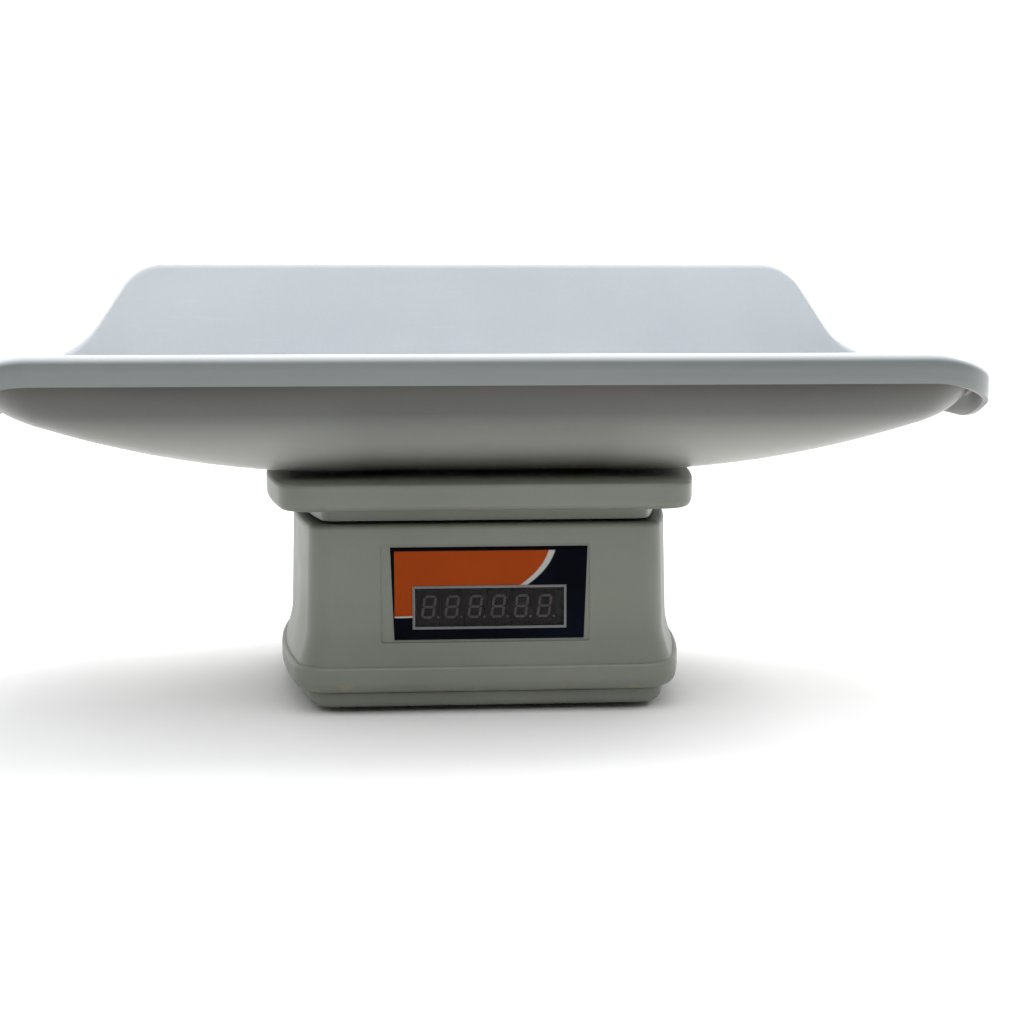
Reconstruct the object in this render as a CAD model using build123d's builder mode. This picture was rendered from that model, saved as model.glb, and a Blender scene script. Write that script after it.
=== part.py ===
from build123d import *
import os
from math import atan2, cos, degrees, radians, sin, sqrt, tan

# Animal weighing scale: a moulded tray on a load-cell platform, over a moulded case with its display.
# Millimetres. The origin is on the table under the middle of the scale; +Z is up, the display faces -Y.

os.makedirs("parts", exist_ok=True)

# ---------------------------------------------------------------- driving dimensions

# Case: straight front and rear, bowed sides, a flare down to a foot band, and a plate below the seam
CASE_HALF_WIDTH = 110.5
CASE_HALF_DEPTH = 107.5
SIDE_BOW = 15.0
CASE_CORNER = 16.0
CASE_WALL = 3.0
PLATE_BOTTOM_Z = 3.0
SEAM_Z = 12.0
SEAM_GAP = 0.4
BAND_TOP_Z = 27.0
BAND_REACH = 6.5
FLARE_FOOT_REACH = 4.1
FLARE_TOP_Z = 43.0
CASE_TOP_Z = 104.5
CASE_TOP_INSET = 1.5

# Platform: a cover with a stepped-in neck, free of the case by the travel gap
PLATFORM_TOP_Z = 127.0
PLATFORM_BOTTOM_Z = 112.5
NECK_BOTTOM_Z = 106.0
PLATFORM_HALF_WIDTH = 124.5
PLATFORM_HALF_DEPTH = 115.0
PLATFORM_CORNER = 18.0
NECK_INSET = 7.0
PLATFORM_WALL = 3.0

# Tray: half sizes are to the outside of the turned-down lip
TRAY_HALF_LENGTH = 283.0
TRAY_HALF_DEPTH = 126.75
TRAY_CORNER = 45.0
TRAY_WALL = 3.0
TRAY_FLOOR_Z = 128.5
TRAY_FLAT_HALF = 66.0
RAMP_RADIUS = 550.0
LIP_REACH = 7.0
LIP_DEPTH = 16.5
LIP_WALL = 2.5
FRONT_RIM_Z = 197.5
REAR_RIM_Z = 247.0
END_RIM_Z = 174.5
WALL_DRAFT = 3.0

# Load cell and what stands under and over it
CELL_LENGTH = 130.0
CELL_WIDTH = 30.0
CELL_HEIGHT = 25.0
CELL_BOTTOM_Z = 62.0
CELL_TRAVEL_GAP = 1.0
CELL_MOUNT_X = 46.0
CELL_SCREW_PITCH = 20.0
FRAME_Z = 9.0
FRAME_THICK = 2.0
SPIDER_Z = 109.0
SPIDER_THICK = 6.0

# Feet and case screws
FOOT_X = 78.0
FOOT_Y = 76.0
CASE_SCREW_X = 93.0
CASE_SCREW_Y = 50.0

# Front label and display, placed on the sloping front face
LABEL_CENTRE_X = 1.3
LABEL_CENTRE_Z = 66.5
WINDOW_CENTRE_X = 1.5
WINDOW_CENTRE_Z = 58.7
WINDOW_WIDTH = 82.1
WINDOW_HEIGHT = 21.6
DIGIT_COUNT = 6
DIGIT_PITCH = 12.7
DIGIT_FACE_DEPTH = 3.0
DIGIT_BODY_DEPTH = 8.0
DISPLAY_BOARD_THICK = 1.6

FRAME_TOP_Z = FRAME_Z + FRAME_THICK
CELL_TOP_Z = CELL_BOTTOM_Z + CELL_HEIGHT
FRONT_LEAN = degrees(atan2(CASE_TOP_INSET, CASE_TOP_Z - FLARE_TOP_Z))
FACE = Plane(
    origin=(0, -CASE_HALF_DEPTH, FLARE_TOP_Z),
    x_dir=(1, 0, 0),
    z_dir=(0, -cos(radians(FRONT_LEAN)), sin(radians(FRONT_LEAN))),
)
LABEL_Y = LABEL_CENTRE_Z - FLARE_TOP_Z
WINDOW_Y = WINDOW_CENTRE_Z - FLARE_TOP_Z


# ---------------------------------------------------------------- shared helpers

def save(part, node):
    """Label a finished piece and write it as its own file."""
    part.label = node
    export_step(part, f"parts/{node}.step")


def bowed_plan(half_width, half_depth, corner):
    """Plan with straight front and rear edges, sides bowed outwards and rounded corners."""
    chord_x = half_width - SIDE_BOW
    with BuildSketch() as plan:
        with BuildLine():
            Line((-chord_x, -half_depth), (chord_x, -half_depth))
            ThreePointArc((chord_x, -half_depth), (half_width, 0), (chord_x, half_depth))
            Line((chord_x, half_depth), (-chord_x, half_depth))
            ThreePointArc((-chord_x, half_depth), (-half_width, 0), (-chord_x, -half_depth))
        make_face()
        fillet(plan.vertices(), corner)
    return plan.sketch


def case_plan(grow=0.0):
    """The case's plan, grown outwards by a distance, or shrunk by a negative one."""
    return bowed_plan(CASE_HALF_WIDTH + grow, CASE_HALF_DEPTH + grow, CASE_CORNER + grow)


def case_block(low_z, low_grow, high_z, high_grow):
    """Straight-sided block between two case plans."""
    with BuildPart() as block:
        with BuildSketch(Plane.XY.offset(low_z)):
            add(case_plan(low_grow))
        with BuildSketch(Plane.XY.offset(high_z)):
            add(case_plan(high_grow))
        loft(ruled=True)
    return block.part


def corner_points(x, y):
    """The four points (+-x, +-y)."""
    return [(-x, -y), (x, -y), (-x, y), (x, y)]


# ---------------------------------------------------------------- tray

TROUGH_TOP_Z = 262.0
STATIONS = [66.0, 120.0, 170.0, 215.0, 250.0, 286.0]
BELLY_RADIUS_MIDDLE = 69.0
BELLY_RADIUS_END = 30.0


def tray_floor_z(x):
    """Height of the tray's underside: flat in the middle, then a ramp of one large radius."""
    run = max(0.0, x - TRAY_FLAT_HALF)
    return TRAY_FLOOR_Z + RAMP_RADIUS - sqrt(RAMP_RADIUS**2 - run**2)


def belly_radius(x):
    """Radius between floor and wall: generous in the middle and tighter at the ends."""
    along = (x - TRAY_FLAT_HALF) / (STATIONS[-1] - TRAY_FLAT_HALF)
    return BELLY_RADIUS_MIDDLE + (BELLY_RADIUS_END - BELLY_RADIUS_MIDDLE) * along**0.7


def trough_section(x, inset):
    """Cross-section of the tray at x: flat floor, two belly radii and slightly drafted walls."""
    floor = tray_floor_z(x) + inset
    slope = tan(radians(WALL_DRAFT))
    front_at_rim = TRAY_HALF_DEPTH - LIP_REACH - inset
    rear_at_rim = front_at_rim - (REAR_RIM_Z - FRONT_RIM_Z) * slope
    drop = (FRONT_RIM_Z - floor) * slope
    rise = (TROUGH_TOP_Z - FRONT_RIM_Z) * slope
    with BuildSketch() as section:
        with BuildLine():
            Polyline(
                (-front_at_rim - rise, TROUGH_TOP_Z),
                (-front_at_rim + drop, floor),
                (rear_at_rim - drop, floor),
                (rear_at_rim + rise, TROUGH_TOP_Z),
                close=True,
            )
        make_face()
        fillet(section.vertices().group_by(Axis.Y)[0], belly_radius(x) - inset)
    return section.sketch


def tray_plan_block(inset):
    """Everything inside the tray's plan, a rounded rectangle shrunk by inset."""
    with BuildPart() as block:
        with BuildSketch():
            RectangleRounded(
                2 * (TRAY_HALF_LENGTH - inset), 2 * (TRAY_HALF_DEPTH - inset), TRAY_CORNER - inset
            )
        extrude(amount=TROUGH_TOP_Z + 10)
    return block.part


def trough(inset):
    """The tray's trough as a filled block, its skin shrunk by inset, trimmed to the tray's plan."""
    with BuildPart() as block:
        with BuildSketch(Plane.YZ):
            add(trough_section(TRAY_FLAT_HALF, inset))
        extrude(amount=TRAY_FLAT_HALF)
        for x in STATIONS:
            with BuildSketch(Plane.YZ.offset(x)):
                add(trough_section(x, inset))
        loft()
        mirror(about=Plane.YZ)
        add(tray_plan_block(LIP_REACH + inset), mode=Mode.INTERSECT)
    return block.part


FLAT_RIM_HALF = 238.0
RIM_RIGHT = TRAY_HALF_LENGTH + 3
FRONT_RIM_RIGHT_Z = 180.4
REAR_FLAT_HALF = 196.0
SHOULDER_RADIUS = 32.0
SHOULDER_SLOPE = 56.0
SHOULDER_RUN = 25.0
FOOT_CURVE_RADIUS = 60.0
FOOT_CURVE_TURN = 43.0
END_FLAT_HALF = 48.0
END_CURVE_RADIUS = 80.0
END_CURVE_HALF = 112.5
RIM_FLOOR_Z = 100.0


def front_rim_profile(drop):
    """Side view below the front rim: level, then falling in one arc to the ends."""
    rim = FRONT_RIM_Z - drop
    end = (RIM_RIGHT, FRONT_RIM_RIGHT_Z - drop)
    with BuildSketch() as profile:
        with BuildLine():
            Line((0, rim), (FLAT_RIM_HALF, rim))
            TangentArc((FLAT_RIM_HALF, rim), end, tangent=(1, 0))
            Polyline(end, (RIM_RIGHT, RIM_FLOOR_Z), (0, RIM_FLOOR_Z), (0, rim))
        make_face()
        mirror(about=Plane.YZ)
    return profile.sketch


def rear_rim_profile(drop):
    """Side view below the rear rim: level, then an S-shaped shoulder down to the ends."""
    rim = REAR_RIM_Z - drop
    last_slope = tan(radians(SHOULDER_SLOPE - FOOT_CURVE_TURN))
    with BuildSketch() as profile:
        with BuildLine():
            Line((0, rim), (REAR_FLAT_HALF, rim))
            shoulder = JernArc((REAR_FLAT_HALF, rim), (1, 0), SHOULDER_RADIUS, -SHOULDER_SLOPE)
            run = PolarLine(shoulder @ 1, SHOULDER_RUN, -SHOULDER_SLOPE)
            foot = JernArc(run @ 1, run % 1, FOOT_CURVE_RADIUS, FOOT_CURVE_TURN)
            reach = RIM_RIGHT - (foot @ 1).X
            last = Line(foot @ 1, (foot @ 1) + Vector(reach, -reach * last_slope))
            Polyline(last @ 1, (RIM_RIGHT, RIM_FLOOR_Z), (0, RIM_FLOOR_Z), (0, rim))
        make_face()
        mirror(about=Plane.YZ)
    return profile.sketch


def end_rim_profile(drop):
    """End view below the end rims: level between two arcs that climb to the corners."""
    rim = END_RIM_Z - drop
    climb = END_CURVE_HALF - END_FLAT_HALF
    corner = (END_CURVE_HALF, rim + END_CURVE_RADIUS - sqrt(END_CURVE_RADIUS**2 - climb**2))
    beyond = TRAY_HALF_DEPTH + 5
    with BuildSketch() as profile:
        with BuildLine():
            Line((0, rim), (END_FLAT_HALF, rim))
            TangentArc((END_FLAT_HALF, rim), corner, tangent=(1, 0))
            Polyline(corner, (END_CURVE_HALF, TROUGH_TOP_Z), (beyond, TROUGH_TOP_Z))
            Polyline((beyond, TROUGH_TOP_Z), (beyond, RIM_FLOOR_Z), (0, RIM_FLOOR_Z), (0, rim))
        make_face()
        mirror(about=Plane.YZ)
    return profile.sketch


def under_rim(drop, inset):
    """The space inside the tray's plan that is lower than the rim line by at least drop."""
    with BuildPart() as region:
        with BuildSketch(Plane.XZ):
            add(front_rim_profile(drop))
        extrude(amount=TRAY_HALF_DEPTH + 5)
        with BuildSketch(Plane.XZ):
            add(rear_rim_profile(drop))
        extrude(amount=-(TRAY_HALF_DEPTH + 5))
        with BuildSketch(Plane.YZ):
            add(end_rim_profile(drop))
        extrude(amount=RIM_RIGHT + 5, both=True, mode=Mode.INTERSECT)
        add(tray_plan_block(inset), mode=Mode.INTERSECT)
    return region.part


PEG_X = 60.0
PEG_Y = 30.0
PEG_RADIUS = 4.0
PEG_BOTTOM_Z = 119.0
LIP_TOP_THICK = 3.0

with BuildPart() as tray:
    add(under_rim(0.0, 0.0))
    add(under_rim(LIP_DEPTH, -1.0), mode=Mode.SUBTRACT)
    add(under_rim(LIP_TOP_THICK, LIP_WALL), mode=Mode.SUBTRACT)
    add(trough(0.0) & under_rim(0.0, 0.0))
    add(trough(TRAY_WALL), mode=Mode.SUBTRACT)
    with BuildSketch(Plane.XY.offset(PEG_BOTTOM_Z)):
        with Locations(*corner_points(PEG_X, PEG_Y)):
            Circle(PEG_RADIUS)
    extrude(amount=TRAY_FLOOR_Z + 1 - PEG_BOTTOM_Z)
save(tray.part, "tray")


# ---------------------------------------------------------------- platform

BUSH_FLANGE_RADIUS = 9.0
BUSH_BODY_RADIUS = 6.0
BUSH_BORE_RADIUS = 4.4
BUSH_BOTTOM_Z = 121.0
FLANGE_GAP = 0.05
SPIDER_ARM_X = 79.0
SPIDER_ARM_Y = 67.0
COVER_BOSS_RADIUS = 6.0
M4_RADIUS = 2.0
M4_HEAD_RADIUS = 3.5
M4_HEAD_HEIGHT = 2.4
M6_RADIUS = 3.0
M6_HEAD_RADIUS = 5.0
M6_HEAD_HEIGHT = 5.0
SCREW_CLEARANCE = 0.1
SPIDER_TOP_Z = SPIDER_Z + SPIDER_THICK
COVER_SCREW_TOP_Z = 122.0
PLATFORM_EDGE_TOP = 2.0
PLATFORM_EDGE_BOTTOM = 4.0


def platform_plan(inset):
    """The platform cover's plan, shrunk by inset."""
    return bowed_plan(
        PLATFORM_HALF_WIDTH - inset, PLATFORM_HALF_DEPTH - inset, PLATFORM_CORNER - inset
    )


with BuildPart() as platform_cover:
    with BuildSketch(Plane.XY.offset(PLATFORM_BOTTOM_Z)):
        add(platform_plan(0.0))
    extrude(amount=PLATFORM_TOP_Z - PLATFORM_BOTTOM_Z)
    fillet(platform_cover.edges().group_by(Axis.Z)[-1], PLATFORM_EDGE_TOP)
    fillet(platform_cover.edges().group_by(Axis.Z)[0], PLATFORM_EDGE_BOTTOM)
    with BuildSketch(Plane.XY.offset(NECK_BOTTOM_Z)):
        add(case_plan(-NECK_INSET))
    extrude(amount=PLATFORM_TOP_Z - 1 - NECK_BOTTOM_Z)
    with BuildSketch(Plane.XY.offset(NECK_BOTTOM_Z)):
        add(case_plan(-NECK_INSET - PLATFORM_WALL))
    extrude(amount=PLATFORM_TOP_Z - PLATFORM_WALL - NECK_BOTTOM_Z, mode=Mode.SUBTRACT)
    with BuildSketch(Plane.XY.offset(PLATFORM_BOTTOM_Z + PLATFORM_WALL)):
        add(platform_plan(PLATFORM_WALL))
    extrude(
        amount=PLATFORM_TOP_Z - 2 * PLATFORM_WALL - PLATFORM_BOTTOM_Z, mode=Mode.SUBTRACT
    )
    with BuildSketch(Plane.XY.offset(SPIDER_TOP_Z)):
        with Locations(*corner_points(SPIDER_ARM_X, SPIDER_ARM_Y)):
            Circle(COVER_BOSS_RADIUS)
    extrude(amount=PLATFORM_TOP_Z - 1 - SPIDER_TOP_Z)
    with BuildSketch(Plane.XY.offset(SPIDER_TOP_Z)):
        with Locations(*corner_points(SPIDER_ARM_X, SPIDER_ARM_Y)):
            Circle(M4_RADIUS + SCREW_CLEARANCE)
    extrude(amount=COVER_SCREW_TOP_Z + 0.5 - SPIDER_TOP_Z, mode=Mode.SUBTRACT)
    with BuildSketch(Plane.XY.offset(PLATFORM_TOP_Z)):
        with Locations(*corner_points(PEG_X, PEG_Y)):
            Circle(BUSH_BODY_RADIUS + SCREW_CLEARANCE)
    extrude(amount=-PLATFORM_WALL - 1, mode=Mode.SUBTRACT)
save(platform_cover.part, "platform_cover")

with BuildPart() as tray_bushes:
    with BuildSketch(Plane.XY.offset(BUSH_BOTTOM_Z)):
        with Locations(*corner_points(PEG_X, PEG_Y)):
            Circle(BUSH_BODY_RADIUS)
    extrude(amount=PLATFORM_TOP_Z - BUSH_BOTTOM_Z)
    with BuildSketch(Plane.XY.offset(PLATFORM_TOP_Z)):
        with Locations(*corner_points(PEG_X, PEG_Y)):
            Circle(BUSH_FLANGE_RADIUS)
    extrude(amount=TRAY_FLOOR_Z - FLANGE_GAP - PLATFORM_TOP_Z)
    fillet(tray_bushes.edges().group_by(Axis.Z)[-1], 0.6)
    with BuildSketch(Plane.XY.offset(BUSH_BOTTOM_Z)):
        with Locations(*corner_points(PEG_X, PEG_Y)):
            Circle(BUSH_BORE_RADIUS)
    extrude(amount=TRAY_FLOOR_Z - BUSH_BOTTOM_Z, mode=Mode.SUBTRACT)
save(tray_bushes.part, "tray_bushes")

SPIDER_HUB_LENGTH = 130.0
SPIDER_HUB_WIDTH = 44.0
SPIDER_ARM_WIDTH = 18.0
ARM_LENGTH = 2 * sqrt(SPIDER_ARM_X**2 + SPIDER_ARM_Y**2)
ARM_ANGLE = degrees(atan2(SPIDER_ARM_Y, SPIDER_ARM_X))
CELL_HOLES_X = [-CELL_SCREW_PITCH / 2, CELL_SCREW_PITCH / 2]
UPPER_MOUNT = [(CELL_MOUNT_X + x, 0) for x in CELL_HOLES_X]
LOWER_MOUNT = [(-CELL_MOUNT_X + x, 0) for x in CELL_HOLES_X]

with BuildPart() as platform_spider:
    with BuildSketch(Plane.XY.offset(SPIDER_Z)):
        RectangleRounded(SPIDER_HUB_LENGTH, SPIDER_HUB_WIDTH, 8)
        for angle in (ARM_ANGLE, -ARM_ANGLE):
            SlotCenterToCenter(ARM_LENGTH, SPIDER_ARM_WIDTH, rotation=angle)
    extrude(amount=SPIDER_THICK)
    fillet(platform_spider.edges().filter_by(Axis.Z), 4)
    with Locations(*[(x, y, SPIDER_TOP_Z) for x, y in corner_points(SPIDER_ARM_X, SPIDER_ARM_Y)]):
        Hole(M4_RADIUS + SCREW_CLEARANCE, depth=SPIDER_THICK)
    with Locations(*[(x, y, SPIDER_TOP_Z) for x, y in UPPER_MOUNT]):
        Hole(M6_RADIUS + SCREW_CLEARANCE, depth=SPIDER_THICK)
save(platform_spider.part, "platform_spider")


def cap_screws(places, under_head_z, shank_radius, shank_length, head_radius, head_height):
    """Socket-head screws standing upright: heads above under_head_z, shanks below it."""
    with BuildPart() as screws:
        for x, y in places:
            with BuildSketch(Plane.XY.offset(under_head_z)):
                with Locations((x, y)):
                    Circle(head_radius)
            extrude(amount=head_height)
            with BuildSketch(Plane.XY.offset(under_head_z)):
                with Locations((x, y)):
                    Circle(shank_radius)
            extrude(amount=-shank_length)
        fillet(screws.edges().group_by(Axis.Z)[-1], head_height * 0.2)
        with BuildSketch(Plane.XY.offset(under_head_z + head_height)):
            with Locations(*places):
                RegularPolygon(head_radius * 0.5, 6)
        extrude(amount=-head_height * 0.6, mode=Mode.SUBTRACT)
    return screws.part


def flip(part, z):
    """Turn a part upside down about the level z."""
    return part.mirror(Plane.XY.offset(z))


COVER_SCREW_LENGTH = COVER_SCREW_TOP_Z - SPIDER_Z
COVER_SCREWS = cap_screws(
    corner_points(SPIDER_ARM_X, SPIDER_ARM_Y),
    SPIDER_Z,
    M4_RADIUS,
    COVER_SCREW_LENGTH,
    M4_HEAD_RADIUS,
    M4_HEAD_HEIGHT,
)
save(flip(COVER_SCREWS, SPIDER_Z), "cover_screws")

UPPER_SPACER_BOTTOM_Z = CELL_TOP_Z + CELL_TRAVEL_GAP
UPPER_SPACER_LENGTH = 38.0
UPPER_SPACER_WIDTH = 30.0
CELL_SCREW_DEPTH = 14.0

with BuildPart() as upper_spacer:
    with BuildSketch(Plane.XY.offset(UPPER_SPACER_BOTTOM_Z)):
        with Locations((CELL_MOUNT_X, 0)):
            RectangleRounded(UPPER_SPACER_LENGTH, UPPER_SPACER_WIDTH, 3)
    extrude(amount=SPIDER_Z - UPPER_SPACER_BOTTOM_Z)
    with Locations(*[(x, y, SPIDER_Z) for x, y in UPPER_MOUNT]):
        Hole(M6_RADIUS + SCREW_CLEARANCE, depth=SPIDER_Z - UPPER_SPACER_BOTTOM_Z)
save(upper_spacer.part, "upper_spacer")

SPIDER_SCREWS = cap_screws(
    UPPER_MOUNT,
    SPIDER_TOP_Z,
    M6_RADIUS,
    SPIDER_TOP_Z - CELL_TOP_Z + CELL_SCREW_DEPTH,
    M6_HEAD_RADIUS,
    M6_HEAD_HEIGHT,
)
save(SPIDER_SCREWS, "spider_screws")


# ---------------------------------------------------------------- load cell and its stand

GAUGE_HOLE_RADIUS = 8.0
GAUGE_HOLE_X = 13.0
GAUGE_SLOT_HEIGHT = 5.0
CELL_MID_Z = CELL_BOTTOM_Z + CELL_HEIGHT / 2
MOVING_CLEARANCE = 0.4

with BuildPart() as load_cell:
    with Locations((0, 0, CELL_MID_Z)):
        Box(CELL_LENGTH, CELL_WIDTH, CELL_HEIGHT)
    chamfer(load_cell.edges().filter_by(Axis.Z), 1.5)
    with BuildSketch(Plane.XZ.offset(-CELL_WIDTH)):
        with Locations((-GAUGE_HOLE_X, CELL_MID_Z), (GAUGE_HOLE_X, CELL_MID_Z)):
            Circle(GAUGE_HOLE_RADIUS)
        with Locations((0, CELL_MID_Z)):
            Rectangle(2 * GAUGE_HOLE_X, GAUGE_SLOT_HEIGHT)
    extrude(amount=2 * CELL_WIDTH, mode=Mode.SUBTRACT)
    with Locations(*[(x, y, CELL_TOP_Z) for x, y in UPPER_MOUNT]):
        Hole(M6_RADIUS + MOVING_CLEARANCE, depth=CELL_SCREW_DEPTH + 2)
    with Locations(*[(x, y, CELL_TOP_Z) for x, y in LOWER_MOUNT]):
        CounterBoreHole(
            M6_RADIUS + SCREW_CLEARANCE,
            M6_HEAD_RADIUS + SCREW_CLEARANCE,
            M6_HEAD_HEIGHT + 0.5,
            depth=CELL_HEIGHT,
        )
save(load_cell.part, "load_cell")

GAUGE_COVER_LENGTH = 48.0
GAUGE_COVER_HEIGHT = 22.0
GAUGE_COVER_THICK = 1.5
GAUGE_COVER_Y = (CELL_WIDTH + GAUGE_COVER_THICK) / 2

with BuildPart() as gauge_covers:
    with Locations((0, -GAUGE_COVER_Y, CELL_MID_Z), (0, GAUGE_COVER_Y, CELL_MID_Z)):
        Box(GAUGE_COVER_LENGTH, GAUGE_COVER_THICK, GAUGE_COVER_HEIGHT)
save(gauge_covers.part, "gauge_covers")

STAND_FLANGE = 5.0
STAND_FLANGE_LENGTH = 70.0
STAND_LENGTH = 40.0
STAND_WIDTH = 36.0
STAND_WALL = 5.0
STAND_WINDOW_HEIGHT = 33.0
STAND_WINDOW_MID_Z = 32.5
STAND_SCREWS = [(-CELL_MOUNT_X + dx, dy) for dx in (-27.0, 27.0) for dy in (-12.0, 12.0)]

with BuildPart() as load_cell_stand:
    with BuildSketch(Plane.XY.offset(FRAME_TOP_Z)):
        with Locations((-CELL_MOUNT_X, 0)):
            RectangleRounded(STAND_FLANGE_LENGTH, STAND_WIDTH, 4)
    extrude(amount=STAND_FLANGE)
    with BuildSketch(Plane.XY.offset(FRAME_TOP_Z)):
        with Locations((-CELL_MOUNT_X, 0)):
            RectangleRounded(STAND_LENGTH, STAND_WIDTH, 4)
    extrude(amount=CELL_BOTTOM_Z - FRAME_TOP_Z)
    with BuildSketch(Plane.XZ.offset(-STAND_WIDTH)):
        with Locations((-CELL_MOUNT_X, STAND_WINDOW_MID_Z)):
            Rectangle(STAND_LENGTH - 2 * STAND_WALL, STAND_WINDOW_HEIGHT)
    extrude(amount=2 * STAND_WIDTH, mode=Mode.SUBTRACT)
    with Locations(*[(x, y, CELL_BOTTOM_Z) for x, y in LOWER_MOUNT]):
        Hole(M6_RADIUS + SCREW_CLEARANCE, depth=12)
    with Locations(*[(x, y, FRAME_TOP_Z + STAND_FLANGE) for x, y in STAND_SCREWS]):
        Hole(M4_RADIUS + SCREW_CLEARANCE, depth=STAND_FLANGE)
save(load_cell_stand.part, "load_cell_stand")

CELL_SCREWS = cap_screws(
    LOWER_MOUNT,
    CELL_TOP_Z - M6_HEAD_HEIGHT - 0.5,
    M6_RADIUS,
    CELL_HEIGHT - M6_HEAD_HEIGHT + 9.0,
    M6_HEAD_RADIUS,
    M6_HEAD_HEIGHT,
)
save(CELL_SCREWS, "cell_screws")

STOP_X = 55.0
STOP_GAP = 1.0
STOP_POST_HEIGHT = 40.0
STOP_BOLT_HEAD = 4.0
STOP_BOLT_BOTTOM_Z = FRAME_TOP_Z + 20
STOP_TOP_Z = CELL_BOTTOM_Z - STOP_GAP
STOP_POST_RADIUS = 7.0
STOP_HEAD_RADIUS = 5.6

with BuildPart() as overload_post:
    with BuildSketch(Plane.XY.offset(FRAME_TOP_Z)):
        with Locations((STOP_X, 0)):
            RegularPolygon(STOP_POST_RADIUS, 6)
            Circle(M6_RADIUS + SCREW_CLEARANCE, mode=Mode.SUBTRACT)
    extrude(amount=STOP_POST_HEIGHT)
save(overload_post.part, "overload_post")

with BuildPart() as overload_stop:
    with BuildSketch(Plane.XY.offset(STOP_TOP_Z - STOP_BOLT_HEAD)):
        with Locations((STOP_X, 0)):
            RegularPolygon(STOP_HEAD_RADIUS, 6)
    extrude(amount=STOP_BOLT_HEAD)
    with BuildSketch(Plane.XY.offset(STOP_BOLT_BOTTOM_Z)):
        with Locations((STOP_X, 0)):
            Circle(M6_RADIUS)
    extrude(amount=STOP_TOP_Z - STOP_BOLT_HEAD - STOP_BOLT_BOTTOM_Z)
save(overload_stop.part, "overload_stop")


# ---------------------------------------------------------------- upper housing

CASE_INNER_TOP_Z = CASE_TOP_Z - CASE_WALL
BAND_LOWER_ROUND = 7.0
BAND_SHOULDER_ROUND = 2.0
FLARE_BLEND = 40.0
CASE_TOP_ROUND = 3.0
RECESS_DEPTH = 0.5
RECESS_LEFT = -58.0
RECESS_RIGHT = 56.5
RECESS_HEIGHT = 54.0
POST_X = 45.0
POST_Y = 13.0
POST_RADIUS = 2.6
SCREW_2_5_RADIUS = 1.25
DISPLAY_BOARD_DEPTH = DIGIT_FACE_DEPTH + DIGIT_BODY_DEPTH
BOSS_RADIUS = 5.5
BOSS_BOTTOM_Z = 9.1
CASE_SCREW_TOP_Z = 24.0
CASE_SCREW_RADIUS = 1.9
NECK_OPENING_LENGTH = 54.0
NECK_OPENING_WIDTH = 46.0

INLET_X = -50.0
SWITCH_X = -4.0
TARE_X = 32.0
REAR_PART_Z = 72.0
INLET_WIDTH = 27.0
INLET_HEIGHT = 19.5
SWITCH_WIDTH = 19.0
SWITCH_HEIGHT = 13.0
TARE_BARREL_RADIUS = 6.0
REAR_LEAN = Plane(
    origin=(0, CASE_HALF_DEPTH, FLARE_TOP_Z),
    x_dir=(-1, 0, 0),
    z_dir=(0, cos(radians(FRONT_LEAN)), sin(radians(FRONT_LEAN))),
)
REAR_Y = REAR_PART_Z - FLARE_TOP_Z


def board_screw_places():
    """Where the display board's screws go, in the front face's plane."""
    return [(WINDOW_CENTRE_X + x, WINDOW_Y + y) for x, y in corner_points(POST_X, POST_Y)]


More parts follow.
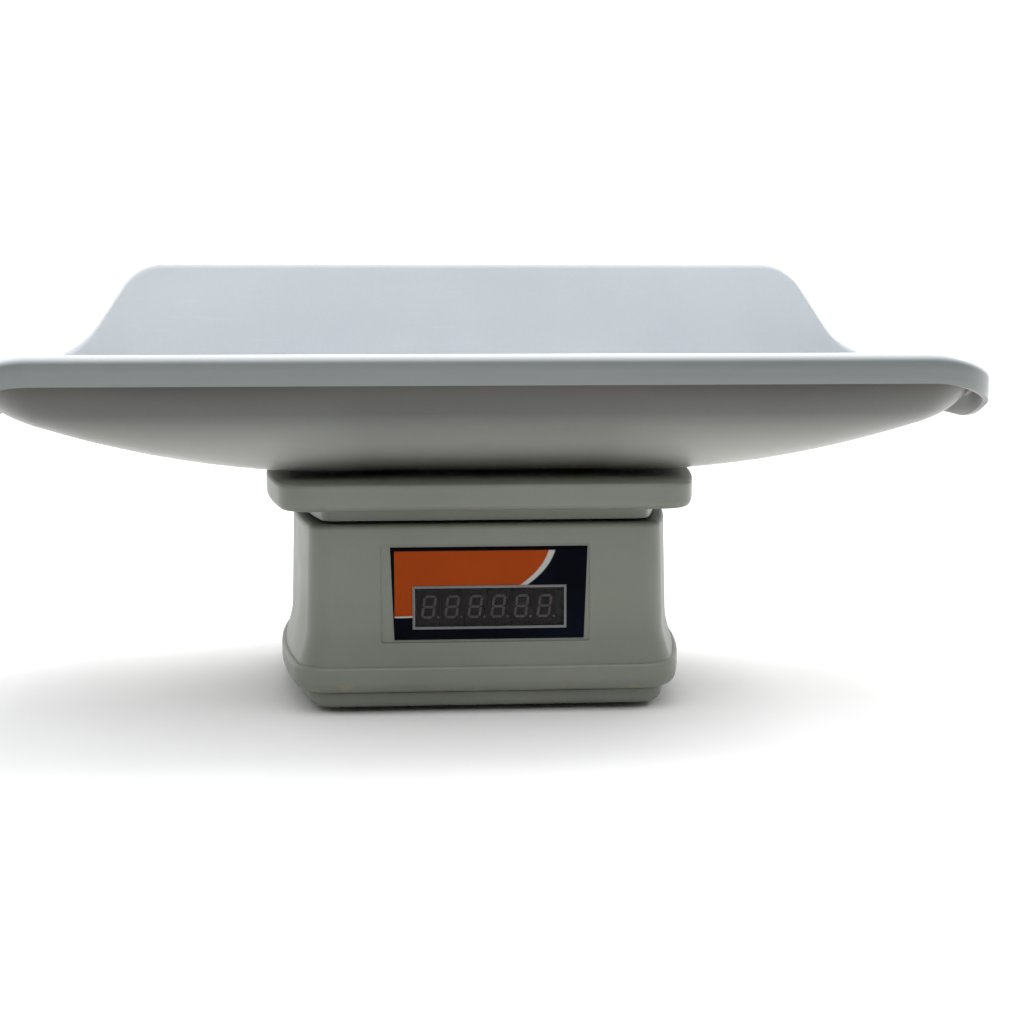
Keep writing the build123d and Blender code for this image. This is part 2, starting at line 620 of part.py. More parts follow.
with BuildPart() as upper_housing:
    with BuildSketch(Plane.XY.offset(SEAM_Z)):
        add(case_plan(BAND_REACH))
    extrude(amount=BAND_TOP_Z - SEAM_Z)
    fillet(upper_housing.edges().group_by(Axis.Z)[0], BAND_LOWER_ROUND)
    fillet(upper_housing.edges().group_by(Axis.Z)[-1], BAND_SHOULDER_ROUND)
    add(case_block(BAND_TOP_Z, FLARE_FOOT_REACH, FLARE_TOP_Z, 0.0))
    add(case_block(FLARE_TOP_Z, 0.0, CASE_TOP_Z, -CASE_TOP_INSET))
    fillet(upper_housing.edges().filter_by_position(
        Axis.Z, FLARE_TOP_Z - 0.1, FLARE_TOP_Z + 0.1
    ), FLARE_BLEND)
    fillet(upper_housing.edges().group_by(Axis.Z)[-1], CASE_TOP_ROUND)
    add(
        case_block(SEAM_Z, -CASE_WALL, CASE_INNER_TOP_Z, -CASE_WALL - CASE_TOP_INSET),
        mode=Mode.SUBTRACT,
    )
    # Recess, window opening and display posts in the front wall
    with BuildSketch(FACE.offset(-RECESS_DEPTH)):
        with Locations(((RECESS_LEFT + RECESS_RIGHT) / 2, LABEL_Y)):
            RectangleRounded(RECESS_RIGHT - RECESS_LEFT, RECESS_HEIGHT, 1.5)
    extrude(amount=RECESS_DEPTH + 3, mode=Mode.SUBTRACT)
    with BuildSketch(FACE.offset(1.0)):
        with Locations((WINDOW_CENTRE_X, WINDOW_Y)):
            Rectangle(WINDOW_WIDTH + 0.2, WINDOW_HEIGHT + 0.2)
    extrude(amount=-8.0, mode=Mode.SUBTRACT)
    with BuildSketch(FACE.offset(-2.0)):
        with Locations(*board_screw_places()):
            Circle(POST_RADIUS)
    extrude(amount=2.0 - DISPLAY_BOARD_DEPTH)
    with BuildSketch(FACE.offset(-DISPLAY_BOARD_DEPTH)):
        with Locations(*board_screw_places()):
            Circle(SCREW_2_5_RADIUS)
    extrude(amount=6.0, mode=Mode.SUBTRACT)
    # Screw bosses that reach down to the bottom plate
    with BuildSketch(Plane.XY.offset(BOSS_BOTTOM_Z)):
        with Locations(*corner_points(CASE_SCREW_X, CASE_SCREW_Y)):
            Circle(BOSS_RADIUS)
    extrude(amount=CASE_INNER_TOP_Z + 1 - BOSS_BOTTOM_Z)
    with BuildSketch(Plane.XY.offset(BOSS_BOTTOM_Z)):
        with Locations(*corner_points(CASE_SCREW_X, CASE_SCREW_Y)):
            Circle(CASE_SCREW_RADIUS + SCREW_CLEARANCE)
    extrude(amount=CASE_SCREW_TOP_Z - BOSS_BOTTOM_Z, mode=Mode.SUBTRACT)
    # Opening under the platform, for the spacer that stands on the load cell
    with BuildSketch(Plane.XY.offset(CASE_TOP_Z)):
        with Locations((CELL_MOUNT_X, 0)):
            RectangleRounded(NECK_OPENING_LENGTH, NECK_OPENING_WIDTH, 5)
    extrude(amount=-2 * CASE_WALL, mode=Mode.SUBTRACT)
    # Rear wall: power inlet, rocker switch and tare button
    with BuildSketch(REAR_LEAN.offset(1.0)):
        with Locations((-INLET_X, REAR_Y)):
            RectangleRounded(INLET_WIDTH + 0.4, INLET_HEIGHT + 0.4, 2.2)
        with Locations((-SWITCH_X, REAR_Y)):
            Rectangle(SWITCH_WIDTH + 0.4, SWITCH_HEIGHT + 0.4)
        with Locations((-TARE_X, REAR_Y)):
            Circle(TARE_BARREL_RADIUS + SCREW_CLEARANCE)
    extrude(amount=-10.0, mode=Mode.SUBTRACT)
save(upper_housing.part, "upper_housing")


# ---------------------------------------------------------------- bottom plate and frame

PLATE_INSET = 0.5
PLATE_TOP_Z = SEAM_Z - SEAM_GAP
PLATE_FLOOR = 3.0
PLATE_ROUND = 5.0
LIP_TOP_Z = 14.5
LIP_INSET = 3.6
WELL_RADIUS = 17.0
FOOT_POCKET_RADIUS = 14.5
FOOT_POCKET_TOP_Z = 6.5
STUD_HOLE_RADIUS = 3.4
PILLAR_RADIUS = 6.5
CASE_HEAD_RADIUS = 4.0
CASE_HEAD_HEIGHT = 2.5
CASE_HEAD_TOP_Z = 7.0

with BuildPart() as bottom_plate:
    with BuildSketch(Plane.XY.offset(PLATE_BOTTOM_Z)):
        add(case_plan(-PLATE_INSET))
    extrude(amount=PLATE_TOP_Z - PLATE_BOTTOM_Z)
    fillet(bottom_plate.edges().group_by(Axis.Z)[0], PLATE_ROUND)
    with BuildSketch(Plane.XY.offset(PLATE_BOTTOM_Z + PLATE_FLOOR)):
        add(case_plan(-LIP_INSET))
    extrude(amount=LIP_TOP_Z - PLATE_BOTTOM_Z - PLATE_FLOOR)
    with BuildSketch(Plane.XY.offset(PLATE_BOTTOM_Z + PLATE_FLOOR)):
        add(case_plan(-LIP_INSET - 2.0))
    extrude(amount=LIP_TOP_Z - PLATE_BOTTOM_Z - PLATE_FLOOR, mode=Mode.SUBTRACT)
    with BuildSketch(Plane.XY.offset(PLATE_BOTTOM_Z + PLATE_FLOOR)):
        with Locations(*corner_points(FOOT_X, FOOT_Y)):
            Circle(WELL_RADIUS)
        with Locations(*corner_points(CASE_SCREW_X, CASE_SCREW_Y)):
            Circle(PILLAR_RADIUS)
    extrude(amount=FRAME_Z - PLATE_BOTTOM_Z - PLATE_FLOOR)
    with BuildSketch(Plane.XY.offset(PLATE_BOTTOM_Z)):
        with Locations(*corner_points(FOOT_X, FOOT_Y)):
            Circle(FOOT_POCKET_RADIUS)
    extrude(amount=FOOT_POCKET_TOP_Z - PLATE_BOTTOM_Z, mode=Mode.SUBTRACT)
    with BuildSketch(Plane.XY.offset(PLATE_BOTTOM_Z)):
        with Locations(*corner_points(CASE_SCREW_X, CASE_SCREW_Y)):
            Circle(CASE_HEAD_RADIUS + 0.3)
    extrude(amount=CASE_HEAD_TOP_Z - PLATE_BOTTOM_Z, mode=Mode.SUBTRACT)
    with BuildSketch(Plane.XY.offset(PLATE_BOTTOM_Z)):
        with Locations(*corner_points(CASE_SCREW_X, CASE_SCREW_Y)):
            Circle(CASE_SCREW_RADIUS + 0.3)
        with Locations(*corner_points(FOOT_X, FOOT_Y)):
            Circle(STUD_HOLE_RADIUS)
    extrude(amount=FRAME_Z - PLATE_BOTTOM_Z, mode=Mode.SUBTRACT)
save(bottom_plate.part, "bottom_plate")

CASE_SCREWS = cap_screws(
    corner_points(CASE_SCREW_X, CASE_SCREW_Y),
    CASE_HEAD_TOP_Z,
    CASE_SCREW_RADIUS,
    CASE_SCREW_TOP_Z - 1 - CASE_HEAD_TOP_Z,
    CASE_HEAD_RADIUS,
    CASE_HEAD_HEIGHT,
)
save(flip(CASE_SCREWS, CASE_HEAD_TOP_Z), "housing_screws")

FRAME_HALF_LENGTH = 84.0
FRAME_HALF_DEPTH = 95.0
FRAME_SLOT_LENGTH = 90.0
FRAME_SLOT_WIDTH = 14.0
BATTERY_X = 1.0
BATTERY_Y = 58.0
BATTERY_LENGTH = 101.0
BATTERY_WIDTH = 70.0
BATTERY_HEIGHT = 47.0
STRAP_THICK = 1.2
STRAP_WIDTH = 20.0
STRAP_EAR = 11.0
STRAP_SCREW_X = BATTERY_LENGTH / 2 + STRAP_THICK + STRAP_EAR / 2
STRAP_SCREWS = [(BATTERY_X - STRAP_SCREW_X, BATTERY_Y), (BATTERY_X + STRAP_SCREW_X, BATTERY_Y)]
TRANSFORMER_X = 64.0
TRANSFORMER_Y = -34.0
CORE_LENGTH = 36.0
CORE_DEPTH = 18.0
CORE_HEIGHT = 32.0
CLAMP_THICK = 1.0
CLAMP_EAR = 7.0
CLAMP_SCREW_X = CORE_LENGTH / 2 + CLAMP_THICK + CLAMP_EAR / 2
CLAMP_SCREWS = [
    (TRANSFORMER_X - CLAMP_SCREW_X, TRANSFORMER_Y),
    (TRANSFORMER_X + CLAMP_SCREW_X, TRANSFORMER_Y),
]
BOARD_X = -15.0
BOARD_Y = -56.0
BOARD_LENGTH = 98.0
BOARD_DEPTH = 60.0
BOARD_Z = 19.0
BOARD_THICK = 1.6
BOARD_SCREWS = [
    (BOARD_X + x, BOARD_Y + y)
    for x, y in corner_points(BOARD_LENGTH / 2 - 4, BOARD_DEPTH / 2 - 4)
]
FRAME_SCREWS = STAND_SCREWS + STRAP_SCREWS + CLAMP_SCREWS

with BuildPart() as base_frame:
    with BuildSketch(Plane.XY.offset(FRAME_Z)):
        RectangleRounded(2 * FRAME_HALF_LENGTH, 2 * FRAME_HALF_DEPTH, 14)
        with Locations((10, 34), (10, 82)):
            SlotOverall(FRAME_SLOT_LENGTH, FRAME_SLOT_WIDTH, mode=Mode.SUBTRACT)
        with Locations((10, -56)):
            SlotOverall(FRAME_SLOT_LENGTH * 0.6, FRAME_SLOT_WIDTH, mode=Mode.SUBTRACT)
        with Locations(*corner_points(FOOT_X, FOOT_Y)):
            Circle(STUD_HOLE_RADIUS, mode=Mode.SUBTRACT)
        with Locations(*FRAME_SCREWS):
            Circle(M4_RADIUS + SCREW_CLEARANCE, mode=Mode.SUBTRACT)
    extrude(amount=FRAME_THICK)
save(base_frame.part, "base_frame")


def frame_screws_over(places, stack):
    """The screws that hold a stack of this thickness down on the frame."""
    return cap_screws(
        places, FRAME_TOP_Z + stack, M4_RADIUS, stack + FRAME_THICK, M4_HEAD_RADIUS, M4_HEAD_HEIGHT
    )


with BuildPart() as frame_screws:
    add(frame_screws_over(STAND_SCREWS, STAND_FLANGE))
    add(frame_screws_over(STRAP_SCREWS, STRAP_THICK))
    add(frame_screws_over(CLAMP_SCREWS, CLAMP_THICK))
save(frame_screws.part, "frame_screws")

NUT_RADIUS = 6.5
NUT_HEIGHT = 5.0

with BuildPart() as foot_nuts:
    with BuildSketch(Plane.XY.offset(FRAME_TOP_Z)):
        for place in corner_points(FOOT_X, FOOT_Y):
            with Locations(place):
                RegularPolygon(NUT_RADIUS, 6)
                Circle(STUD_HOLE_RADIUS, mode=Mode.SUBTRACT)
    extrude(amount=NUT_HEIGHT)
save(foot_nuts.part, "foot_nuts")

PAD_THICK = 2.0
PAD_RADIUS = 11.5
DISC_RADIUS = 13.5
DISC_TOP_Z = 6.0
STUD_TOP_Z = 24.0
KNURL_COUNT = 18
FOOT_NAMES = ["front_left", "front_right", "rear_left", "rear_right"]

for foot_name, (foot_x, foot_y) in zip(FOOT_NAMES, corner_points(FOOT_X, FOOT_Y)):
    with BuildPart() as foot:
        with BuildSketch(Plane.XY.offset(PAD_THICK)):
            with Locations((foot_x, foot_y)):
                Circle(DISC_RADIUS)
                with PolarLocations(DISC_RADIUS + 0.4, KNURL_COUNT):
                    Circle(1.0, mode=Mode.SUBTRACT)
        extrude(amount=DISC_TOP_Z - PAD_THICK)
        with BuildSketch(Plane.XY.offset(PAD_THICK)):
            with Locations((foot_x, foot_y)):
                Circle(M6_RADIUS)
        extrude(amount=STUD_TOP_Z - PAD_THICK)
    save(foot.part, f"foot_{foot_name}")
    with BuildPart() as foot_pad:
        with BuildSketch():
            with Locations((foot_x, foot_y)):
                Circle(PAD_RADIUS)
        extrude(amount=PAD_THICK)
        fillet(foot_pad.edges().group_by(Axis.Z)[0], 0.5)
    save(foot_pad.part, f"foot_pad_{foot_name}")


# ---------------------------------------------------------------- front label and display

LABEL_HALF_TOP = 54.0
LABEL_HALF_BOTTOM = 52.0
LABEL_HALF_HEIGHT = 25.5
LABEL_THICK = 0.3
WINDOW_RIM = 1.2
WINDOW_RIM_LAP = 0.2
WINDOW_THICK = 1.5
RIM_PROUD = 0.7

with BuildPart() as front_label:
    with BuildSketch(FACE.offset(-RECESS_DEPTH)):
        with Locations((LABEL_CENTRE_X, LABEL_Y)):
            Polygon(
                (-LABEL_HALF_TOP, LABEL_HALF_HEIGHT),
                (-LABEL_HALF_BOTTOM, -LABEL_HALF_HEIGHT),
                (LABEL_HALF_BOTTOM, -LABEL_HALF_HEIGHT),
                (LABEL_HALF_TOP, LABEL_HALF_HEIGHT),
            )
        with Locations((WINDOW_CENTRE_X, WINDOW_Y)):
            Rectangle(
                WINDOW_WIDTH + 2 * WINDOW_RIM, WINDOW_HEIGHT + 2 * WINDOW_RIM, mode=Mode.SUBTRACT
            )
    extrude(amount=LABEL_THICK)
save(front_label.part, "front_label")

with BuildPart() as display_frame:
    with BuildSketch(FACE.offset(-RECESS_DEPTH)):
        with Locations((WINDOW_CENTRE_X, WINDOW_Y)):
            Rectangle(WINDOW_WIDTH + 2 * WINDOW_RIM - 0.2, WINDOW_HEIGHT + 2 * WINDOW_RIM - 0.2)
            Rectangle(
                WINDOW_WIDTH - 2 * WINDOW_RIM_LAP,
                WINDOW_HEIGHT - 2 * WINDOW_RIM_LAP,
                mode=Mode.SUBTRACT,
            )
    extrude(amount=RIM_PROUD)
save(display_frame.part, "display_frame")

with BuildPart() as display_window:
    with BuildSketch(FACE.offset(-RECESS_DEPTH)):
        with Locations((WINDOW_CENTRE_X, WINDOW_Y)):
            Rectangle(WINDOW_WIDTH, WINDOW_HEIGHT)
    extrude(amount=-WINDOW_THICK)
save(display_window.part, "display_window")

DIGIT_WIDTH = 12.5
DIGIT_HEIGHT = 19.0
DIGIT_ROW_X = 0.1
DIGIT_PLACES = [
    (DIGIT_ROW_X + (i - (DIGIT_COUNT - 1) / 2) * DIGIT_PITCH, WINDOW_Y) for i in range(DIGIT_COUNT)
]
SEGMENT_THICK = 1.4
FIGURE_HEIGHT = 12.8
FIGURE_WIDTH = 7.4
FIGURE_SLANT = 8.0
SEGMENT_GAP = 0.35
SEGMENT_RELIEF = 0.25

with BuildPart() as digit_housings:
    with BuildSketch(FACE.offset(-DIGIT_FACE_DEPTH)):
        with Locations(*DIGIT_PLACES):
            Rectangle(DIGIT_WIDTH, DIGIT_HEIGHT)
    extrude(amount=-DIGIT_BODY_DEPTH)
save(digit_housings.part, "digit_housings")


def segment_outline(centre_x, centre_y, length, upright):
    """One six-sided segment, pointed at its ends and leaning with the figure."""
    half = length / 2
    side = SEGMENT_THICK / 2
    outline = [(-half, 0), (-half + side, side), (half - side, side)]
    outline += [(half, 0), (half - side, -side), (-half + side, -side)]
    if upright:
        outline = [(-y, x) for x, y in outline]
    lean = tan(radians(FIGURE_SLANT))
    return [(centre_x + x + lean * (centre_y + y), centre_y + y) for x, y in outline]


def figure_outlines():
    """The seven segments of one figure, centred on the origin."""
    across = (FIGURE_WIDTH - SEGMENT_THICK) / 2
    up = (FIGURE_HEIGHT - SEGMENT_THICK) / 2
    bars = [segment_outline(0, y, 2 * across - SEGMENT_GAP, False) for y in (-up, 0, up)]
    posts = [
        segment_outline(x, y, up - SEGMENT_GAP, True)
        for x in (-across, across)
        for y in (-up / 2, up / 2)
    ]
    return bars + posts


with BuildPart() as digit_segments:
    with BuildSketch(FACE.offset(-DIGIT_FACE_DEPTH)):
        with Locations(*DIGIT_PLACES):
            for outline in figure_outlines():
                Polygon(*outline, align=None)
        with Locations(*[(x + 5.0, y - FIGURE_HEIGHT / 2 + 0.7) for x, y in DIGIT_PLACES]):
            Circle(0.7)
    extrude(amount=SEGMENT_RELIEF)
save(digit_segments.part, "digit_segments")

DISPLAY_BOARD_LENGTH = 102.0
DISPLAY_BOARD_HEIGHT = 34.0
DISPLAY_BACK = DISPLAY_BOARD_DEPTH + DISPLAY_BOARD_THICK
DISPLAY_HEAD_RADIUS = 2.4
DISPLAY_HEAD_HEIGHT = 1.6
DISPLAY_SCREW_BITE = 5.0

with BuildPart() as display_board:
    with BuildSketch(FACE.offset(-DISPLAY_BOARD_DEPTH)):
        with Locations((WINDOW_CENTRE_X, WINDOW_Y)):
            Rectangle(DISPLAY_BOARD_LENGTH, DISPLAY_BOARD_HEIGHT)
        with Locations(*board_screw_places()):
            Circle(SCREW_2_5_RADIUS + SCREW_CLEARANCE, mode=Mode.SUBTRACT)
    extrude(amount=-DISPLAY_BOARD_THICK)
save(display_board.part, "display_board")

with BuildPart() as display_screws:
    with BuildSketch(FACE.offset(-DISPLAY_BACK)):
        with Locations(*board_screw_places()):
            Circle(DISPLAY_HEAD_RADIUS)
    extrude(amount=-DISPLAY_HEAD_HEIGHT)
    with BuildSketch(FACE.offset(-DISPLAY_BACK)):
        with Locations(*board_screw_places()):
            Circle(SCREW_2_5_RADIUS - 0.05)
    extrude(amount=DISPLAY_BOARD_THICK + DISPLAY_SCREW_BITE)
save(display_screws.part, "display_screws")

RIBBON_X = 18.0
RIBBON_WIDTH = 14.0
HEADER_HEIGHT = 7.0
HEADER_DEPTH = 5.0

with BuildPart() as ribbon_headers:
    with BuildSketch(FACE.offset(-DISPLAY_BACK)):
        with Locations((RIBBON_X, WINDOW_Y - 8)):
            Rectangle(RIBBON_WIDTH + 2, HEADER_DEPTH)
    extrude(amount=-HEADER_HEIGHT)
    with BuildSketch(Plane.XY.offset(BOARD_Z + BOARD_THICK)):
        with Locations((RIBBON_X, -76)):
            Rectangle(RIBBON_WIDTH + 2, HEADER_DEPTH)
    extrude(amount=HEADER_HEIGHT)
save(ribbon_headers.part, "ribbon_headers")


# ---------------------------------------------------------------- main board

BOARD_TOP_Z = BOARD_Z + BOARD_THICK
STANDOFF_RADIUS = 3.2
M3_RADIUS = 1.5
M3_HEAD_RADIUS = 2.8
M3_HEAD_HEIGHT = 2.0

with BuildPart() as main_board:
    with BuildSketch(Plane.XY.offset(BOARD_Z)):
        with Locations((BOARD_X, BOARD_Y)):
            Rectangle(BOARD_LENGTH, BOARD_DEPTH)
        with Locations(*BOARD_SCREWS):
            Circle(M3_RADIUS + SCREW_CLEARANCE, mode=Mode.SUBTRACT)
    extrude(amount=BOARD_THICK)
save(main_board.part, "main_board")

with BuildPart() as board_standoffs:
    with BuildSketch(Plane.XY.offset(FRAME_TOP_Z)):
        for place in BOARD_SCREWS:
            with Locations(place):
                RegularPolygon(STANDOFF_RADIUS, 6)
                Circle(M3_RADIUS + SCREW_CLEARANCE, mode=Mode.SUBTRACT)
    extrude(amount=BOARD_Z - FRAME_TOP_Z)
save(board_standoffs.part, "board_standoffs")

save(
    cap_screws(BOARD_SCREWS, BOARD_TOP_Z, M3_RADIUS, 7.0, M3_HEAD_RADIUS, M3_HEAD_HEIGHT),
    "board_screws",
)

CHIPS = [(-30, -55, 20, 8), (-30, -70, 10, 6), (-5, -45, 12, 12), (2, -60, 8, 6)]
CHIP_HEIGHT = 3.0
CAPACITORS = [(-48, -45, 5.0, 16.0), (-48, -58, 4.0, 12.0), (-50, -70, 3.2, 9.0), (12, -40, 3.2, 8.0)]

with BuildPart() as board_chips:
    for chip_x, chip_y, chip_length, chip_depth in CHIPS:
        with BuildSketch(Plane.XY.offset(BOARD_TOP_Z)):
            with Locations((chip_x, chip_y)):
                Rectangle(chip_length, chip_depth)
        extrude(amount=CHIP_HEIGHT)
save(board_chips.part, "board_chips")

with BuildPart() as board_capacitors:
    for can_x, can_y, can_radius, can_height in CAPACITORS:
        with BuildSketch(Plane.XY.offset(BOARD_TOP_Z)):
            with Locations((can_x, can_y)):
                Circle(can_radius)
        extrude(amount=can_height)
save(board_capacitors.part, "board_capacitors")

SINK_X = -15.0
SINK_Y = -34.0
SINK_FINS = 6
SINK_LENGTH = 24.0
SINK_BACK = 2.0
SINK_FIN_DEPTH = 9.0
SINK_FIN_THICK = 1.2
SINK_HEIGHT = 18.0

with BuildPart() as heat_sink:
    with BuildSketch(Plane.XY.offset(BOARD_TOP_Z)):
        with Locations((SINK_X, SINK_Y)):
            Rectangle(SINK_LENGTH, SINK_BACK)
            with GridLocations(SINK_LENGTH / SINK_FINS, 0, SINK_FINS, 1):
                Rectangle(SINK_FIN_THICK, SINK_FIN_DEPTH)
    extrude(amount=SINK_HEIGHT)
save(heat_sink.part, "heat_sink")

CELL_PLUG = (-38.0, -78.0)
BATTERY_PLUG = (28.0, -66.0)
PLUG_LENGTH = 10.0
PLUG_DEPTH = 6.0
PLUG_HEIGHT = 8.0

with BuildPart() as board_plugs:
    with BuildSketch(Plane.XY.offset(BOARD_TOP_Z)):
        with Locations(CELL_PLUG, BATTERY_PLUG):
            Rectangle(PLUG_LENGTH, PLUG_DEPTH)
    extrude(amount=PLUG_HEIGHT)
save(board_plugs.part, "board_plugs")


# ---------------------------------------------------------------- power: transformer and battery

COIL_LENGTH = 22.0
COIL_DEPTH = 32.0
COIL_HEIGHT = 20.0
CORE_MID_Z = FRAME_TOP_Z + CORE_HEIGHT / 2

with BuildPart() as transformer_core:
    with Locations((TRANSFORMER_X, TRANSFORMER_Y, CORE_MID_Z)):
        Box(CORE_LENGTH, CORE_DEPTH, CORE_HEIGHT)
        Box(COIL_LENGTH + 0.2, CORE_DEPTH, COIL_HEIGHT + 0.2, mode=Mode.SUBTRACT)
save(transformer_core.part, "transformer_core")

with BuildPart() as transformer_coil:
    with Locations((TRANSFORMER_X, TRANSFORMER_Y, CORE_MID_Z)):
        Box(COIL_LENGTH, COIL_DEPTH, COIL_HEIGHT)
    fillet(transformer_coil.edges().filter_by(Axis.Z), 3)
save(transformer_coil.part, "transformer_coil")


def strap(centre_x, centre_y, span, height, thick, width, ear):
    """A bent strap over a box that stands on the frame, with a screw ear at each side."""
    outer = span / 2 + thick
    with BuildPart() as bent:
        with BuildSketch(Plane.XZ.offset(-centre_y)):
            with Locations((centre_x, FRAME_TOP_Z)):
                Rectangle(2 * outer, height + thick, align=(Align.CENTER, Align.MIN))
                Rectangle(2 * (outer + ear), thick, align=(Align.CENTER, Align.MIN))
                Rectangle(span, height, align=(Align.CENTER, Align.MIN), mode=Mode.SUBTRACT)
        extrude(amount=width / 2, both=True)
        ear_x = outer + ear / 2
        ear_z = FRAME_TOP_Z + thick
        with Locations((centre_x - ear_x, centre_y, ear_z), (centre_x + ear_x, centre_y, ear_z)):
            Hole(M4_RADIUS + SCREW_CLEARANCE, depth=thick)
    return bent.part


save(
    strap(TRANSFORMER_X, TRANSFORMER_Y, CORE_LENGTH, CORE_HEIGHT, CLAMP_THICK, 12.0, CLAMP_EAR),
    "transformer_clamp",
)

BATTERY_MID_Z = FRAME_TOP_Z + BATTERY_HEIGHT / 2

with BuildPart() as battery:
    with Locations((BATTERY_X, BATTERY_Y, BATTERY_MID_Z)):
        Box(BATTERY_LENGTH, BATTERY_WIDTH, BATTERY_HEIGHT)
    fillet(battery.edges().filter_by(Axis.X), 1.5)
save(battery.part, "battery")

TAB_Z = 50.0
TAB_YS = [32.0, 84.0]
TAB_LENGTH = 5.0
TAB_X = BATTERY_X + BATTERY_LENGTH / 2 + TAB_LENGTH / 2

with BuildPart() as battery_tabs:
    with Locations(*[(TAB_X, y, TAB_Z) for y in TAB_YS]):
        Box(TAB_LENGTH, 4.8, 0.8)
save(battery_tabs.part, "battery_tabs")

save(
    strap(
        BATTERY_X,
        BATTERY_Y,
        BATTERY_LENGTH,
        BATTERY_HEIGHT,
        STRAP_THICK,
        STRAP_WIDTH,
        STRAP_EAR,
    ),
    "battery_strap",
)


# ---------------------------------------------------------------- rear wall: inlet, switch, tare

INLET_FLANGE_LENGTH = 48.0
INLET_FLANGE_HEIGHT = 22.5
INLET_FLANGE_THICK = 2.5
INLET_DEPTH = 22.0
INLET_SCREW_X = 20.0
SOCKET_LENGTH = 24.2
SOCKET_HEIGHT = 16.6
SOCKET_DEPTH = 18.0
INLET_SCREW_HEAD = 1.4
PIN_SPACING = 7.0
INLET_AT = (-INLET_X, REAR_Y)
INLET_SCREWS = [(-INLET_X - INLET_SCREW_X, REAR_Y), (-INLET_X + INLET_SCREW_X, REAR_Y)]

with BuildPart() as power_inlet:
    with BuildSketch(REAR_LEAN):
        with Locations(INLET_AT):
            RectangleRounded(INLET_FLANGE_LENGTH, INLET_FLANGE_HEIGHT, 5)
    extrude(amount=INLET_FLANGE_THICK)
    fillet(power_inlet.edges().filter_by(Axis.Y, reverse=True).sort_by(Axis.Y)[-8:], 0.6)
    with BuildSketch(REAR_LEAN):
        with Locations(INLET_AT):
            RectangleRounded(INLET_WIDTH, INLET_HEIGHT, 2)
    extrude(amount=-INLET_DEPTH)
    with BuildSketch(REAR_LEAN.offset(INLET_FLANGE_THICK)):
        with Locations(INLET_AT):
            Rectangle(SOCKET_LENGTH, SOCKET_HEIGHT)
    extrude(amount=-SOCKET_DEPTH, mode=Mode.SUBTRACT)
    with BuildSketch(REAR_LEAN.offset(INLET_FLANGE_THICK)):
        with Locations(*INLET_SCREWS):
            Circle(M3_RADIUS + SCREW_CLEARANCE)
    extrude(amount=-INLET_FLANGE_THICK - 1, mode=Mode.SUBTRACT)
save(power_inlet.part, "power_inlet")

PIN_OFFSET = 2.0
PIN_TIP_DEPTH = 2.0
PIN_THICK = 2.0
PIN_HEIGHT = 4.0
PIN_PLACES = [
    (-INLET_X - PIN_SPACING, REAR_Y - PIN_OFFSET),
    (-INLET_X + PIN_SPACING, REAR_Y - PIN_OFFSET),
    (-INLET_X, REAR_Y + PIN_OFFSET),
]

with BuildPart() as inlet_pins:
    with BuildSketch(REAR_LEAN.offset(-PIN_TIP_DEPTH)):
        with Locations(*PIN_PLACES):
            Rectangle(PIN_THICK, PIN_HEIGHT)
    extrude(amount=PIN_TIP_DEPTH + INLET_FLANGE_THICK - SOCKET_DEPTH)
save(inlet_pins.part, "inlet_pins")

with BuildPart() as inlet_screws:
    with BuildSketch(REAR_LEAN.offset(INLET_FLANGE_THICK)):
        with Locations(*INLET_SCREWS):
            Circle(M3_HEAD_RADIUS)
    extrude(amount=INLET_SCREW_HEAD)
    fillet(inlet_screws.edges().sort_by(Axis.Y)[-2:], 0.5)
    with BuildSketch(REAR_LEAN.offset(INLET_FLANGE_THICK)):
        with Locations(*INLET_SCREWS):
            Circle(M3_RADIUS)
    extrude(amount=-INLET_FLANGE_THICK)
save(inlet_screws.part, "inlet_screws")

SWITCH_BEZEL_LENGTH = 21.0
SWITCH_BEZEL_HEIGHT = 15.0
SWITCH_BEZEL_THICK = 1.6
SWITCH_DEPTH = 15.0
ROCKER_LENGTH = 14.4
ROCKER_HEIGHT = 9.2
ROCKER_CAVITY_DEPTH = 7.0
ROCKER_TILT = 9.0
SWITCH_AT = (-SWITCH_X, REAR_Y)

with BuildPart() as switch_body:
    with BuildSketch(REAR_LEAN):
        with Locations(SWITCH_AT):
            RectangleRounded(SWITCH_BEZEL_LENGTH, SWITCH_BEZEL_HEIGHT, 1.2)
    extrude(amount=SWITCH_BEZEL_THICK)
    with BuildSketch(REAR_LEAN):
        with Locations(SWITCH_AT):
            Rectangle(SWITCH_WIDTH, SWITCH_HEIGHT)
    extrude(amount=-SWITCH_DEPTH)
    with BuildSketch(REAR_LEAN.offset(SWITCH_BEZEL_THICK)):
        with Locations(SWITCH_AT):
            Rectangle(ROCKER_LENGTH + 1.6, ROCKER_HEIGHT + 0.8)
    extrude(amount=-ROCKER_CAVITY_DEPTH, mode=Mode.SUBTRACT)
save(switch_body.part, "switch_body")

ROCKER_PIVOT = REAR_LEAN.from_local_coords((-SWITCH_X, REAR_Y, 0.0))
ROCKER_AXIS = Axis(ROCKER_PIVOT, REAR_LEAN.y_dir)
ROCKER_PLANE = Plane(
    origin=ROCKER_PIVOT - REAR_LEAN.y_dir * ROCKER_HEIGHT / 2,
    x_dir=REAR_LEAN.x_dir,
    z_dir=REAR_LEAN.y_dir,
)

with BuildPart() as switch_rocker:
    with BuildSketch(ROCKER_PLANE):
        with BuildLine():
            Polyline(
                (-ROCKER_LENGTH / 2, -3.0),
                (-4.0, 3.6),
                (4.0, 3.6),
                (ROCKER_LENGTH / 2, -3.0),
                (0, -1.4),
                close=True,
            )
        make_face()
    extrude(amount=ROCKER_HEIGHT)
save(switch_rocker.part.rotate(ROCKER_AXIS, ROCKER_TILT), "switch_rocker")

